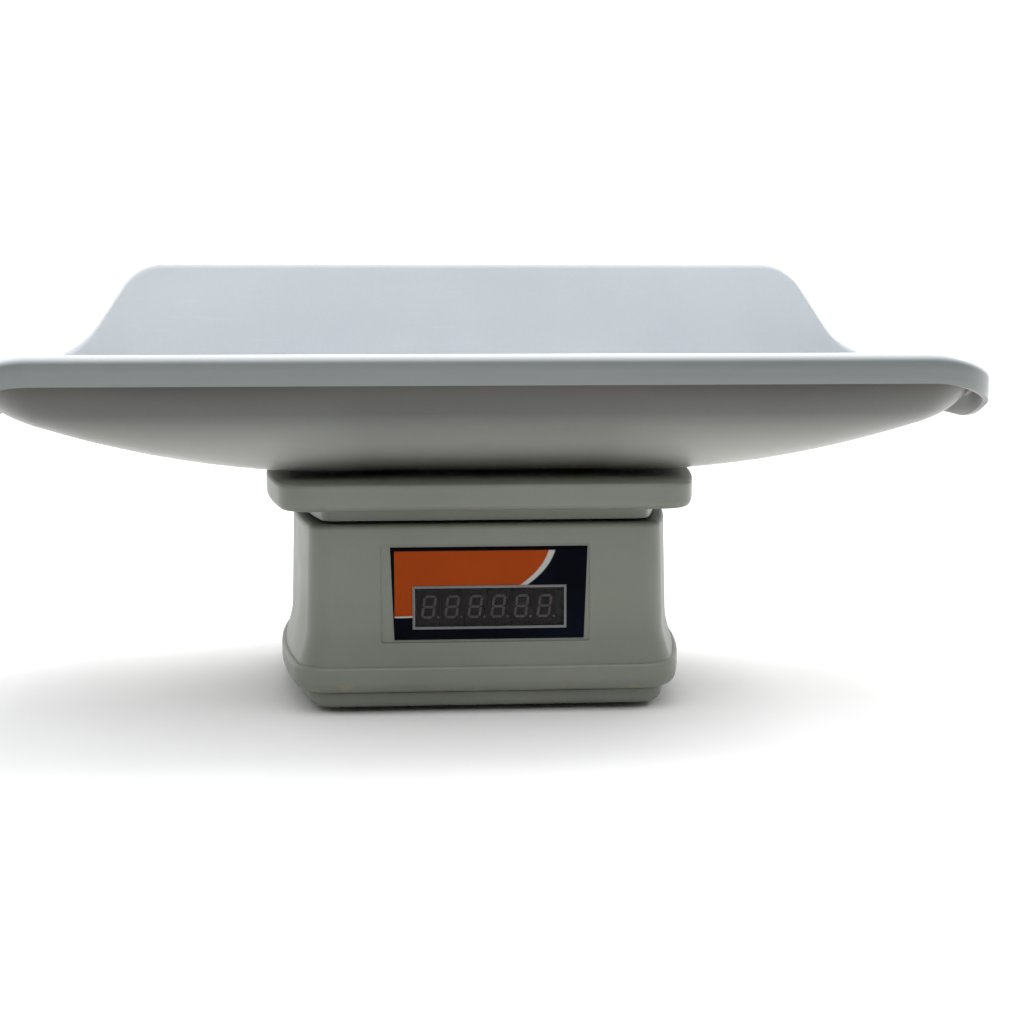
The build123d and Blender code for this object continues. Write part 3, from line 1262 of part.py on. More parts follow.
TARE_BEZEL_RADIUS = 8.0
TARE_BEZEL_THICK = 1.5
TARE_BORE_RADIUS = 4.6
TARE_CAP_RADIUS = 4.2
TARE_PROUD = 3.6
TARE_DEPTH = 14.0
TARE_BORE_DEPTH = 9.0
TARE_CAP_LENGTH = 8.0
TARE_AT = (-TARE_X, REAR_Y)

with BuildPart() as tare_barrel:
    with BuildSketch(REAR_LEAN):
        with Locations(TARE_AT):
            Circle(TARE_BEZEL_RADIUS)
    extrude(amount=TARE_BEZEL_THICK)
    with BuildSketch(REAR_LEAN):
        with Locations(TARE_AT):
            Circle(TARE_BARREL_RADIUS)
    extrude(amount=-TARE_DEPTH)
    with BuildSketch(REAR_LEAN.offset(TARE_BEZEL_THICK)):
        with Locations(TARE_AT):
            Circle(TARE_BORE_RADIUS)
    extrude(amount=-TARE_BORE_DEPTH - TARE_BEZEL_THICK, mode=Mode.SUBTRACT)
save(tare_barrel.part, "tare_barrel")

with BuildPart() as tare_button:
    with BuildSketch(REAR_LEAN.offset(TARE_PROUD)):
        with Locations(TARE_AT):
            Circle(TARE_CAP_RADIUS)
    extrude(amount=-TARE_CAP_LENGTH)
    fillet(tare_button.edges().sort_by(Axis.Y)[-1], 0.8)
save(tare_button.part, "tare_button")


# ---------------------------------------------------------------- cables held inside the case

def bend_radii(points):
    """The largest bend at each corner that its two runs leave room for."""
    places = [Vector(*point) for point in points]
    radii = []
    for before, corner, after in zip(places, places[1:], places[2:]):
        run_in = corner - before
        run_out = after - corner
        half_turn = radians(run_in.get_angle(run_out)) / 2
        radii.append(0.45 * min(run_in.length, run_out.length) / tan(half_turn))
    return radii


def wire(points, diameter):
    """One round wire along straight runs joined by tangent arcs."""
    with BuildPart() as lead:
        with BuildLine() as path:
            FilletPolyline(*points, radius=bend_radii(points))
        start = Plane(origin=path.line @ 0, z_dir=path.line % 0)
        with BuildSketch(start):
            Circle(diameter / 2)
        sweep()
    return lead.part


CELL_WIRE = [(-30, -17.0, 74), (-34, -30, 72), (-40, -48, 62), (-39, -66, 48), (-38, -78, 29.8)]
SWITCH_WIRE = [(-42, 84.2, 70), (-40, 76, 69), (-28, 70, 68), (-14, 76, 69), (-9, 91.0, 71)]
NEGATIVE_WIRE = [(57.6, 32, 50), (64, 24, 52), (68, 4, 54), (62, -24, 52), (46, -54, 44), (29, -64, 29.4)]
POSITIVE_WIRE = [(57.6, 84, 50), (68, 74, 53), (76, 40, 56), (74, 0, 56), (66, -40, 54)]
POSITIVE_WIRE += [(46, -62, 44), (27, -67, 29.4)]
TRANSFORMER_WIRE = [(0, 91, 71), (6, 78, 69), (30, 66, 64), (60, 52, 62), (80, 14, 60)]
TRANSFORMER_WIRE += [(74, -14, 52), (64, -22, 38)]

save(wire(CELL_WIRE, 4.0), "load_cell_cable")
save(wire(SWITCH_WIRE, 2.2) + wire(TRANSFORMER_WIRE, 2.2), "mains_leads")
save(wire(NEGATIVE_WIRE, 1.8) + wire(POSITIVE_WIRE, 1.8), "battery_leads")

RIBBON_THICK = 1.0
with BuildPart() as ribbon_cable:
    with BuildSketch(Plane.YZ.offset(RIBBON_X - RIBBON_WIDTH / 2)):
        with BuildLine():
            FilletPolyline((-86.9, 50.7), (-78, 50), (-71, 44), (-72, 36), (-76, 28.2), radius=3.0)
        trace(line_width=RIBBON_THICK)
    extrude(amount=RIBBON_WIDTH)
save(ribbon_cable.part, "ribbon_cable")
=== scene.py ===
# %% [markdown]
# # Animal weighing scale
# The scale is a long moulded tray that stands on a small platform over a moulded case with a
# display, which is switched off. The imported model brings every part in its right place, so this
# lesson loads it, gives each part its finish, and remodels the one part whose smooth skin matters
# most: the tray. Everything is in metres, with the origin on the table under the middle of the scale.

# %% Load the fixed frame
from math import acos, cos, radians, sin, sqrt, tan

import bmesh
import bpy
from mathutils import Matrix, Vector


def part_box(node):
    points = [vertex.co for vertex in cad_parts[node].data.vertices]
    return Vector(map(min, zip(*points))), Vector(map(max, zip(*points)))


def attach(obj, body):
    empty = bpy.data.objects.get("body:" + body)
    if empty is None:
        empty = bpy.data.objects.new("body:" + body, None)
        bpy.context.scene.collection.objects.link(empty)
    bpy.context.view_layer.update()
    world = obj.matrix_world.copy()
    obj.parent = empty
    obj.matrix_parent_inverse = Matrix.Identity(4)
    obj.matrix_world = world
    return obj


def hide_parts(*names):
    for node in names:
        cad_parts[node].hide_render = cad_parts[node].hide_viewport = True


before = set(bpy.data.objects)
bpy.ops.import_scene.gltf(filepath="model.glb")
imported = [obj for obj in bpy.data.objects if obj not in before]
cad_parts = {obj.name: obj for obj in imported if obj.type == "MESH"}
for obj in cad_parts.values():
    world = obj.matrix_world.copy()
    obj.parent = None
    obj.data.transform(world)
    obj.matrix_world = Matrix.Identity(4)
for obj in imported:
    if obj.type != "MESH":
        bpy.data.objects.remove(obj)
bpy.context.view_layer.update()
MM = 0.001
print("parts in the frame:", len(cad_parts))

# %% [markdown]
# ## The tray's outline
# Seen from above the tray is a rounded rectangle. A sheet that ends in such an outline could be
# cut from a plane, but then its edges would not follow the rim. Here each point of the edge knows
# the centre it is measured from and the direction it looks in, so one short rule places the
# floor's edge, the crest and the lip, all square to the outline.

# %% Tray sizes
tray_low, tray_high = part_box("tray")
EDGE_CLEARANCE = 0.1 * MM
HALF_LENGTH = tray_high.x - EDGE_CLEARANCE
HALF_DEPTH = tray_high.y - EDGE_CLEARANCE
PLAN_CORNER = 45 * MM
CREST_RADIUS = 5 * MM
WALL = 3 * MM
STRAIGHT_X = HALF_LENGTH - PLAN_CORNER
STRAIGHT_Y = HALF_DEPTH - PLAN_CORNER
CORNER_STEPS = 12
LONG_STEPS = 120
SHORT_STEPS = 30
CROWDING = 0.3
COLUMNS = LONG_STEPS + 2 * CORNER_STEPS
ROWS = SHORT_STEPS + 2 * CORNER_STEPS
print("tray half sizes, mm:", round(HALF_LENGTH / MM, 1), round(HALF_DEPTH / MM, 1))


# %% Walking along one side
def side_place(step, straight_steps, half_straight):
    """Where a step stands along a side, and how far in degrees it has turned into a corner."""
    past = step - CORNER_STEPS
    if past < 0:
        return -half_straight, 45 * past / CORNER_STEPS
    if past > straight_steps:
        return half_straight, 45 * (past - straight_steps) / CORNER_STEPS
    share = 2 * past / straight_steps - 1
    crowded = (1 + CROWDING) * share - CROWDING * share**3
    return half_straight * crowded, 0.0


def edge_ray(column, row):
    """The centre and outward direction, in degrees, that belong to a point on the sheet's edge."""
    if row in (0, ROWS):
        along, turn = side_place(column, LONG_STEPS, STRAIGHT_X)
        if row == 0:
            return along, -STRAIGHT_Y, turn - 90
        return along, STRAIGHT_Y, 90 - turn
    along, turn = side_place(row, SHORT_STEPS, STRAIGHT_Y)
    if column == 0:
        return -STRAIGHT_X, along, 180 - turn
    return STRAIGHT_X, along, turn


def on_ray(ray, reach):
    """The plan point at this distance from the ray's centre."""
    centre_x, centre_y, heading = ray
    return centre_x + reach * cos(radians(heading)), centre_y + reach * sin(radians(heading))


print("first corner of the outline:", [round(c / MM) for c in on_ray(edge_ray(0, 0), PLAN_CORNER)])

# %% [markdown]
# ## Heights: floor and rim
# The floor is level in the middle and climbs to both ends in one large arc, so an animal slides
# to the centre. The rim is low in front, high behind and lowest at the ends. Each is written as
# the arcs a mould maker would draw, and a soft minimum joins two rims without a crease.

# %% Floor height
UNDERSIDE_Z = 128.5 * MM
FLAT_HALF = 66 * MM
RAMP_RADIUS = 550 * MM


def floor_z(x):
    """Height of the tray's inner floor."""
    run = max(0.0, abs(x) - FLAT_HALF)
    return UNDERSIDE_Z + RAMP_RADIUS - sqrt((RAMP_RADIUS - WALL) ** 2 - run**2)


print("floor at the middle and the end, mm:", round(floor_z(0) / MM, 1), round(floor_z(0.28) / MM, 1))

# %% Rim heights
FRONT_RIM_Z = 197.5 * MM
FRONT_FLAT = 238 * MM
FRONT_FALL_RADIUS = 87.6 * MM
REAR_RIM_Z = tray_high.z
REAR_FLAT = 196 * MM
SHOULDER_RADIUS = 32 * MM
SHOULDER_SLOPE = radians(56)
SHOULDER_RUN = 25 * MM
FOOT_RADIUS = 60 * MM
LAST_SLOPE = radians(13)
END_RIM_Z = 174.5 * MM
END_FLAT = 48 * MM
END_CLIMB_RADIUS = 80 * MM
END_CLIMB_HALF = 112.5 * MM
STEEP_END = 10
RIM_BLEND = 5 * MM


def front_rim(x):
    """Height of the front rim: level, then one falling arc."""
    run = max(0.0, abs(x) - FRONT_FLAT)
    return FRONT_RIM_Z - FRONT_FALL_RADIUS + sqrt(FRONT_FALL_RADIUS**2 - run**2)


def rear_rim(x):
    """Height of the rear rim: level, a shoulder, a steep run, a hollow foot and a gentle end."""
    run = max(0.0, abs(x) - REAR_FLAT)
    height = REAR_RIM_Z
    shoulder = SHOULDER_RADIUS * sin(SHOULDER_SLOPE)
    if run <= shoulder:
        return height - SHOULDER_RADIUS + sqrt(SHOULDER_RADIUS**2 - run**2)
    height -= SHOULDER_RADIUS * (1 - cos(SHOULDER_SLOPE))
    run -= shoulder
    steep = SHOULDER_RUN * cos(SHOULDER_SLOPE)
    if run <= steep:
        return height - run * tan(SHOULDER_SLOPE)
    height -= SHOULDER_RUN * sin(SHOULDER_SLOPE)
    run -= steep
    foot = FOOT_RADIUS * (sin(SHOULDER_SLOPE) - sin(LAST_SLOPE))
    if run <= foot:
        from_lowest = FOOT_RADIUS * sin(SHOULDER_SLOPE) - run
        return height - sqrt(FOOT_RADIUS**2 - from_lowest**2) + FOOT_RADIUS * cos(SHOULDER_SLOPE)
    height -= FOOT_RADIUS * (cos(LAST_SLOPE) - cos(SHOULDER_SLOPE))
    return height - (run - foot) * tan(LAST_SLOPE)


def end_rim(y):
    """Height of the end rims: level in the middle, climbing to the corners, then steeply out."""
    run = min(max(0.0, abs(y) - END_FLAT), END_CLIMB_HALF - END_FLAT)
    beyond = max(0.0, abs(y) - END_CLIMB_HALF)
    return END_RIM_Z + END_CLIMB_RADIUS - sqrt(END_CLIMB_RADIUS**2 - run**2) + STEEP_END * beyond


def rim_z(x, y):
    """Height of the rim's crest at a point of the outline."""
    side = front_rim(x) if y < 0 else rear_rim(x)
    end = end_rim(y)
    nearness = max(0.0, 1 - abs(side - end) / RIM_BLEND)
    return min(side, end) - RIM_BLEND * nearness**2 / 4


print("rim at front, rear, end, mm:", [round(z / MM, 1) for z in (front_rim(0), rear_rim(0), end_rim(0))])

# %% [markdown]
# ## From floor to crest
# Walking outwards, the skin leaves the floor in a hollow belly, climbs a nearly upright wall and
# rolls over the crest. Where the rim is low there is no wall, and belly and crest meet at a
# shallower angle. One function gives that S-shaped walk for any height, so the rings of the tray
# meet all the way round.

# %% The S-shaped walk
WALL_ANGLE = radians(87)
BELLY_RADIUS_MIDDLE = 66 * MM
BELLY_RADIUS_END = 22 * MM
BELLY_END_X = 286 * MM
BELLY_STEPS = 14
WALL_STEPS = 2
CREST_STEPS = 7
CLIMB_STEPS = BELLY_STEPS + WALL_STEPS + CREST_STEPS


def belly_radius(x):
    """Inner radius between floor and wall, tight enough at the ends that corner rays don't cross."""
    along = min(1.0, max(0.0, (abs(x) - FLAT_HALF) / (BELLY_END_X - FLAT_HALF)))
    return BELLY_RADIUS_MIDDLE + (BELLY_RADIUS_END - BELLY_RADIUS_MIDDLE) * along**0.7


def climb(step, height, belly):
    """Inward distance and drop from the crest line after so many steps up from the floor."""
    steep = min(WALL_ANGLE, acos(max(-1.0, 1 - height / (belly + CREST_RADIUS))))
    wall = height - (belly + CREST_RADIUS) * (1 - cos(steep))
    if step <= BELLY_STEPS:
        turn = steep * step / BELLY_STEPS
        inward = (belly + CREST_RADIUS) * sin(steep) + wall / tan(steep) - belly * sin(turn)
        return inward, height - belly * (1 - cos(turn))
    past = step - BELLY_STEPS
    if past <= WALL_STEPS:
        left = wall * (1 - past / WALL_STEPS)
        inward = CREST_RADIUS * sin(steep) + left / tan(steep)
        return inward, CREST_RADIUS * (1 - cos(steep)) + left
    turn = steep * (1 - (past - WALL_STEPS) / CREST_STEPS)
    return CREST_RADIUS * sin(turn), CREST_RADIUS * (1 - cos(turn))


def skin_point(ray, step):
    """The point of the tray's inner skin on this ray after so many steps."""
    crest_reach = PLAN_CORNER - CREST_RADIUS
    crest_x = on_ray(ray, crest_reach)[0]
    height = rim_z(*on_ray(ray, PLAN_CORNER)) - floor_z(crest_x)
    inward, drop = climb(step, height, belly_radius(crest_x))
    x, y = on_ray(ray, crest_reach - inward)
    rim = floor_z(crest_x) + height
    share = 1 - drop / height
    return Vector((x, y, floor_z(x) * (1 - share) + rim * share))


print("front wall starts, mm:", [round(c / MM, 1) for c in skin_point(edge_ray(COLUMNS // 2, 0), 0)])

# %% [markdown]
# ## The floor sheet
# A grid is the natural start for a sheet with four sides. Its edge points go where the belly
# starts, and the points inside follow by blending the four sides, which is called a Coons patch.
# The alternative, a fan of triangles round the middle, would leave a pinched spot in the gloss.
# The blend goes by how far along a side a point is, and not by its number: the corners are
# crowded with points, and counting them would fold the sheet over its own edge.

# %% Floor sheet
tray_mesh = bmesh.new()
bmesh.ops.create_grid(tray_mesh, x_segments=COLUMNS, y_segments=ROWS, size=1.0)
front_edge = [skin_point(edge_ray(column, 0), 0) for column in range(COLUMNS + 1)]
rear_edge = [skin_point(edge_ray(column, ROWS), 0) for column in range(COLUMNS + 1)]
left_edge = [skin_point(edge_ray(0, row), 0) for row in range(ROWS + 1)]
right_edge = [skin_point(edge_ray(COLUMNS, row), 0) for row in range(ROWS + 1)]


def patch_point(column, row):
    """A point inside the floor sheet, blended from its four sides by how far along each it is."""
    length = front_edge[COLUMNS].x - front_edge[0].x
    depth = right_edge[ROWS].y - right_edge[0].y
    u = (front_edge[column].x - front_edge[0].x) / length
    v = (right_edge[row].y - right_edge[0].y) / depth
    across = front_edge[column].lerp(rear_edge[column], v)
    along = left_edge[row].lerp(right_edge[row], u)
    near = front_edge[0].lerp(front_edge[COLUMNS], u)
    far = rear_edge[0].lerp(rear_edge[COLUMNS], u)
    point = across + along - near.lerp(far, v)
    return Vector((point.x, point.y, floor_z(point.x)))


ray_layers = [tray_mesh.verts.layers.float.new(name) for name in ("ray_x", "ray_y", "ray_turn")]
outside_layer = tray_mesh.verts.layers.float.new("outside")
for vert in tray_mesh.verts:
    column = round((vert.co.x + 1) / 2 * COLUMNS)
    row = round((vert.co.y + 1) / 2 * ROWS)
    vert.co = patch_point(column, row)
    if column in (0, COLUMNS) or row in (0, ROWS):
        for layer, value in zip(ray_layers, edge_ray(column, row)):
            vert[layer] = value
print("floor sheet faces:", len(tray_mesh.faces))

# %% [markdown]
# ## Walls, rolled crest and lip
# The rest of the tray grows out of the sheet's open edge: the edge is extruded ring by ring, and
# each new ring is moved to its place. First come the rings up to the crest, then the outer half
# of the roll, then the lip that hangs down outside and stiffens the rim.

# %% Grow the rings
LIP_DEPTH = 16.5 * MM
ROLL_STEPS = 7
LIP_STEPS = 3
MERGE_DISTANCE = 0.15 * MM


def outer_point(ray, step):
    """The point of the outer roll or the lip on this ray."""
    rim = rim_z(*on_ray(ray, PLAN_CORNER))
    turn = radians(90) * min(step, ROLL_STEPS) / ROLL_STEPS
    x, y = on_ray(ray, PLAN_CORNER - CREST_RADIUS + CREST_RADIUS * sin(turn))
    hang = (LIP_DEPTH - CREST_RADIUS) * max(0, step - ROLL_STEPS) / LIP_STEPS
    return Vector((x, y, rim - CREST_RADIUS * (1 - cos(turn)) - hang))


def grow_ring(place, step, outside):
    """Extrude the open edge once, move the new ring to its place and note how far outside it is."""
    rim_edges = [edge for edge in tray_mesh.edges if edge.is_boundary]
    grown = bmesh.ops.extrude_edge_only(tray_mesh, edges=rim_edges)
    for item in grown["geom"]:
        if isinstance(item, bmesh.types.BMVert):
            item.co = place([item[layer] for layer in ray_layers], step)
            item[outside_layer] = outside


for ring in range(1, CLIMB_STEPS + 1):
    grow_ring(skin_point, ring, 0.0)
for ring in range(1, ROLL_STEPS + LIP_STEPS + 1):
    grow_ring(outer_point, ring, min(1.0, ring / ROLL_STEPS))
bmesh.ops.remove_doubles(tray_mesh, verts=tray_mesh.verts, dist=MERGE_DISTANCE)
print("narrowest face, square mm:", min(face.calc_area() for face in tray_mesh.faces) / MM**2)
bmesh.ops.recalc_face_normals(tray_mesh, faces=tray_mesh.faces)
print("tray skin faces:", len(tray_mesh.faces))

# %% [markdown]
# ## Give the skin its thickness
# A moulded tray has nearly one wall thickness everywhere, so a Solidify modifier is the right tool: it
# adds the underside at a set distance. A small Bevel then breaks the sharp lower edge of the
# lip, which is where a moulding catches the light.

# %% Tray object
LIP_EDGE_ROUND = 0.7 * MM
LIP_EDGE_ANGLE = radians(60)


def finish_piece(mesh, name, body):
    """Turn a bmesh into a smooth object that rides on a body of the frame."""
    data = bpy.data.meshes.new(name)
    mesh.to_mesh(data)
    mesh.free()
    for face in data.polygons:
        face.use_smooth = True
    piece = bpy.data.objects.new(name, data)
    bpy.context.scene.collection.objects.link(piece)
    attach(piece, body)
    return piece


middle_face = min(tray_mesh.faces, key=lambda face: face.calc_center_median().xy.length)
if middle_face.normal.z < 0:
    bmesh.ops.reverse_faces(tray_mesh, faces=tray_mesh.faces)
tray_shell = finish_piece(tray_mesh, "tray_shell", "tray_lift_off")
shell = tray_shell.modifiers.new("wall", "SOLIDIFY")
shell.thickness = WALL
shell.offset = -1
shell.material_offset = 1
shell.material_offset_rim = 1
edge_round = tray_shell.modifiers.new("lip_edge", "BEVEL")
edge_round.width = LIP_EDGE_ROUND
edge_round.segments = 3
edge_round.limit_method = "ANGLE"
edge_round.angle_limit = LIP_EDGE_ANGLE
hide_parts("tray")

# %% [markdown]
# ## Locating pegs
# Four pegs under the floor drop into rubber bushes, so the tray lifts off for cleaning but cannot
# slide. Each is a turned shape with a rounded tip: a short profile, spun once round.

# %% Pegs
PEG_X = 60 * MM
PEG_Y = 30 * MM
PEG_RADIUS = 4 * MM
PEG_TIP = 1.5 * MM
PEG_SEGMENTS = 32
PEG_MERGE = 0.01 * MM


def spin_profile(mesh, points, centre, segments):
    """Spin an open profile of (radius, height) points once round an upright axis."""
    verts = [mesh.verts.new((centre.x + radius, centre.y, height)) for radius, height in points]
    edges = [mesh.edges.new(pair) for pair in zip(verts, verts[1:])]
    bmesh.ops.spin(
        mesh, geom=verts + edges, cent=centre, axis=(0, 0, 1), angle=radians(360),
        steps=segments, use_merge=True,
    )


peg_mesh = bmesh.new()
peg_top = UNDERSIDE_Z + WALL / 2
peg_profile = [
    (0, tray_low.z),
    (PEG_RADIUS - PEG_TIP, tray_low.z),
    (PEG_RADIUS - PEG_TIP * 0.3, tray_low.z + PEG_TIP * 0.3),
    (PEG_RADIUS, tray_low.z + PEG_TIP),
    (PEG_RADIUS, peg_top),
    (0, peg_top),
]
for peg_x in (-PEG_X, PEG_X):
    for peg_y in (-PEG_Y, PEG_Y):
        spin_profile(peg_mesh, peg_profile, Vector((peg_x, peg_y, 0)), PEG_SEGMENTS)
bmesh.ops.remove_doubles(peg_mesh, verts=peg_mesh.verts, dist=PEG_MERGE)
bmesh.ops.recalc_face_normals(peg_mesh, faces=peg_mesh.faces)
tray_pegs = finish_piece(peg_mesh, "tray_pegs", "tray_lift_off")
print("peg faces:", len(tray_pegs.data.polygons))

# %% [markdown]
# ## A small kit for finishes
# Every finish here is made of nodes that read a part's own position, so it needs no picture and
# looks the same from every side. The same few moves come back each time: a soft noise for
# patches of colour, a finer noise for gloss, and a very fine one for the grain of the mould.
# They are gathered in short helpers, so that each finish below says only what is special to it.

# %% Node helpers
MIX_FACTOR = 0
MIX_FIRST = 6
MIX_SECOND = 7
MIX_RESULT = 2


def add_node(tree, kind, inputs, **settings):
    """Add a node, then set or link its inputs by name or number."""
    made = tree.nodes.new(kind)
    for setting, value in settings.items():
        setattr(made, setting, value)
    for socket, value in inputs.items():
        if isinstance(value, bpy.types.NodeSocket):
            tree.links.new(value, made.inputs[socket])
        else:
            made.inputs[socket].default_value = value
    return made


def calc(tree, operation, first, second=0.0):
    """One sum on two numbers or sockets."""
    return add_node(tree, "ShaderNodeMath", {0: first, 1: second}, operation=operation).outputs[0]


def spread(tree, value, start, end, low=0.0, high=1.0, smooth=False):
    """Stretch a value that runs from start to end so that it runs from low to high."""
    inputs = {"Value": value, "From Min": start, "From Max": end, "To Min": low, "To Max": high}
    kind = "SMOOTHSTEP" if smooth else "LINEAR"
    return add_node(tree, "ShaderNodeMapRange", inputs, interpolation_type=kind).outputs[0]


def blend_colours(tree, factor, first, second):
    """Mix two colours, given as sockets or as red, green and blue."""
    colours = [c if isinstance(c, bpy.types.NodeSocket) else (*c, 1.0) for c in (first, second)]
    inputs = {MIX_FACTOR: factor, MIX_FIRST: colours[0], MIX_SECOND: colours[1]}
    return add_node(tree, "ShaderNodeMix", inputs, data_type="RGBA").outputs[MIX_RESULT]


def noise(tree, place, scale, detail=3.0):
    """Soft random patches between 0 and 1, at this many per metre."""
    inputs = {"Vector": place, "Scale": scale, "Detail": detail}
    return add_node(tree, "ShaderNodeTexNoise", inputs).outputs["Fac"]


def position(tree, stretch=(1, 1, 1)):
    """Where a point is on the part, stretched along an axis for grain that runs one way."""
    place = tree.nodes.new("ShaderNodeTexCoord").outputs["Object"]
    if stretch == (1, 1, 1):
        return place
    return add_node(tree, "ShaderNodeMapping", {"Vector": place, "Scale": stretch}).outputs[0]


finishes = {}
print("node kit ready")

# %% [markdown]
# ## The plain finish
# Most parts share one recipe: two close tones that drift over the surface, a gloss that is never
# quite even, and a bump from the mould, the casting or the brushing. The numbers below are the
# only difference between a rubber bush and a cast spider.

# %% Plain finish
PATCH_DETAIL = 4.0
PATCH_EDGES = (0.32, 0.68)
SPECK_EDGES = (0.35, 0.65)
SPECK_SHARE = 0.25
SPECK_SIZE = 0.4
WEAR_EDGES = (0.3, 0.7)
WEAR_SIZE = 3.0
GRAIN_DETAIL = 2.0
GRAIN_DEPTH = 0.2 * MM


def plain_finish(name, dark, light, gloss, grain, bump, patch=18.0, stretch=(1, 1, 1), metallic=0.0):
    """A finish of two drifting tones with uneven gloss and a fine grain."""
    material = bpy.data.materials.new("finish_" + name)
    material.use_nodes = True
    tree = material.node_tree
    shader = tree.nodes["Principled BSDF"]
    place = position(tree, stretch)
    patches = spread(tree, noise(tree, place, patch, PATCH_DETAIL), *PATCH_EDGES)
    specks = spread(tree, noise(tree, place, grain * SPECK_SIZE), *SPECK_EDGES, 0.0, SPECK_SHARE)
    colour = blend_colours(tree, calc(tree, "ADD", patches, specks), dark, light)
    tree.links.new(colour, shader.inputs["Base Color"])
    worn = spread(tree, noise(tree, place, patch * WEAR_SIZE), *WEAR_EDGES, *gloss)
    tree.links.new(worn, shader.inputs["Roughness"])
    shader.inputs["Metallic"].default_value = metallic
    height = add_node(
        tree, "ShaderNodeBump",
        {"Strength": bump, "Distance": GRAIN_DEPTH, "Height": noise(tree, place, grain, GRAIN_DETAIL)},
    )
    tree.links.new(height.outputs[0], shader.inputs["Normal"])
    finishes[name] = material
    return tree, shader


def stain(tree, shader, mask, colour):
    """Lay another colour over a finish wherever the mask is high."""
    base = shader.inputs["Base Color"].links[0].from_socket
    tree.links.new(blend_colours(tree, mask, base, colour), shader.inputs["Base Color"])


PLAIN_FINISHES = [
    # name, dark tone, light tone, gloss, grain per metre, bump
    ("pale_rim", (0.11, 0.11, 0.11), (0.16, 0.16, 0.16), (0.35, 0.5), 1400, 0.1),
    ("digit_black", (0.012, 0.010, 0.008), (0.030, 0.024, 0.016), (0.45, 0.6), 900, 0.1),
    ("segment_grey", (0.48, 0.46, 0.45), (0.60, 0.58, 0.57), (0.3, 0.45), 1200, 0.05),
    ("black_plastic", (0.012, 0.012, 0.013), (0.03, 0.03, 0.032), (0.32, 0.5), 1500, 0.25),
    ("button_grey", (0.24, 0.25, 0.25), (0.32, 0.33, 0.33), (0.35, 0.5), 1500, 0.2),
    ("white_nylon", (0.66, 0.65, 0.60), (0.76, 0.75, 0.71), (0.4, 0.55), 900, 0.2),
    ("wire_sleeve", (0.05, 0.05, 0.055), (0.09, 0.09, 0.10), (0.4, 0.6), 1200, 0.2),
    ("rubber_black", (0.018, 0.018, 0.018), (0.045, 0.044, 0.042), (0.65, 0.85), 1100, 0.5),
    ("foot_black", (0.02, 0.02, 0.021), (0.045, 0.045, 0.047), (0.4, 0.6), 1300, 0.3),
    ("coil_tape", (0.42, 0.30, 0.08), (0.60, 0.44, 0.13), (0.3, 0.45), 700, 0.3),
    ("potting", (0.10, 0.10, 0.11), (0.16, 0.16, 0.17), (0.2, 0.4), 300, 0.2),
]
for name, dark, light, gloss, grain, bump in PLAIN_FINISHES:
    plain_finish(name, dark, light, gloss, grain, bump)

METAL_FINISHES = [
    # name, dark tone, light tone, gloss, grain per metre, bump, stretch along the grain
    ("cell_aluminium", (0.62, 0.63, 0.65), (0.76, 0.77, 0.79), (0.22, 0.4), 900, 0.15, (0.05, 1, 1)),
    ("cast_spider", (0.40, 0.40, 0.41), (0.55, 0.55, 0.56), (0.45, 0.65), 500, 0.6, (1, 1, 1)),
    ("zinc_steel", (0.52, 0.53, 0.55), (0.72, 0.73, 0.76), (0.28, 0.5), 350, 0.1, (1, 1, 1)),
    ("screw_steel", (0.45, 0.45, 0.46), (0.62, 0.62, 0.63), (0.2, 0.35), 1600, 0.1, (1, 1, 0.2)),
    ("lamination_steel", (0.22, 0.22, 0.23), (0.42, 0.42, 0.44), (0.35, 0.6), 900, 0.6, (1, 1, 0.03)),
    ("brass_contact", (0.60, 0.42, 0.16), (0.78, 0.57, 0.25), (0.18, 0.35), 1200, 0.1, (1, 0.1, 1)),
]
for name, dark, light, gloss, grain, bump, stretch in METAL_FINISHES:
    plain_finish(name, dark, light, gloss, grain, bump, stretch=stretch, metallic=1.0)
print("plain finishes:", len(finishes))

# %% [markdown]
# ## Circuit boards
# Lacquered boards are green with lighter tracks under the lacquer. A brick pattern of long thin
# bricks reads as tracks and costs one node.

# %% Circuit board finish
tree, shader = plain_finish(
    "circuit_board", (0.01, 0.07, 0.03), (0.015, 0.11, 0.045), (0.2, 0.35), 900, 0.1
)
tracks = add_node(
    tree, "ShaderNodeTexBrick",
    {
        "Vector": position(tree), "Scale": 260.0, "Mortar Size": 0.03,
        "Color1": (0, 0, 0, 1), "Color2": (0, 0, 0, 1), "Mortar": (1, 1, 1, 1),
    },
)
stain(tree, shader, calc(tree, "MULTIPLY", tracks.outputs["Color"], 0.55), (0.05, 0.28, 0.12))
print("board finish ready")

# %% [markdown]
# ## The case: satin plastic in use
# The case is moulded in a warm grey-green plastic with a fine spark grain. Years on a bench leave
# their marks where hands and cloths do not reach: brown dirt in the seam, dust on the ledge
# above the band, a few yellow spots by the seam. Each mark is a band of height, broken up by
# noise, so it looks settled and not painted.

# %% Case finish
CASE_DARK = (0.158, 0.168, 0.138)
CASE_LIGHT = (0.184, 0.194, 0.162)
SEAM_Z = 11.8 * MM
SEAM_REACH = 1.6 * MM
LEDGE_Z = 27.2 * MM
LEDGE_REACH = 2.0 * MM
SPOT_RISE = 3 * MM
SPOT_REACH = 5 * MM
GRIME_BROWN = (0.09, 0.075, 0.045)
DUST_GREY = (0.22, 0.215, 0.17)
SPOT_YELLOW = (0.30, 0.24, 0.10)


def height_band(tree, place, middle, half_width):
    """1 at a height, fading to 0 at half_width above and below it."""
    z = add_node(tree, "ShaderNodeSeparateXYZ", {0: place}).outputs["Z"]
    away = calc(tree, "ABSOLUTE", calc(tree, "SUBTRACT", z, middle))
    return spread(tree, away, 0.0, half_width, 1.0, 0.0, smooth=True)


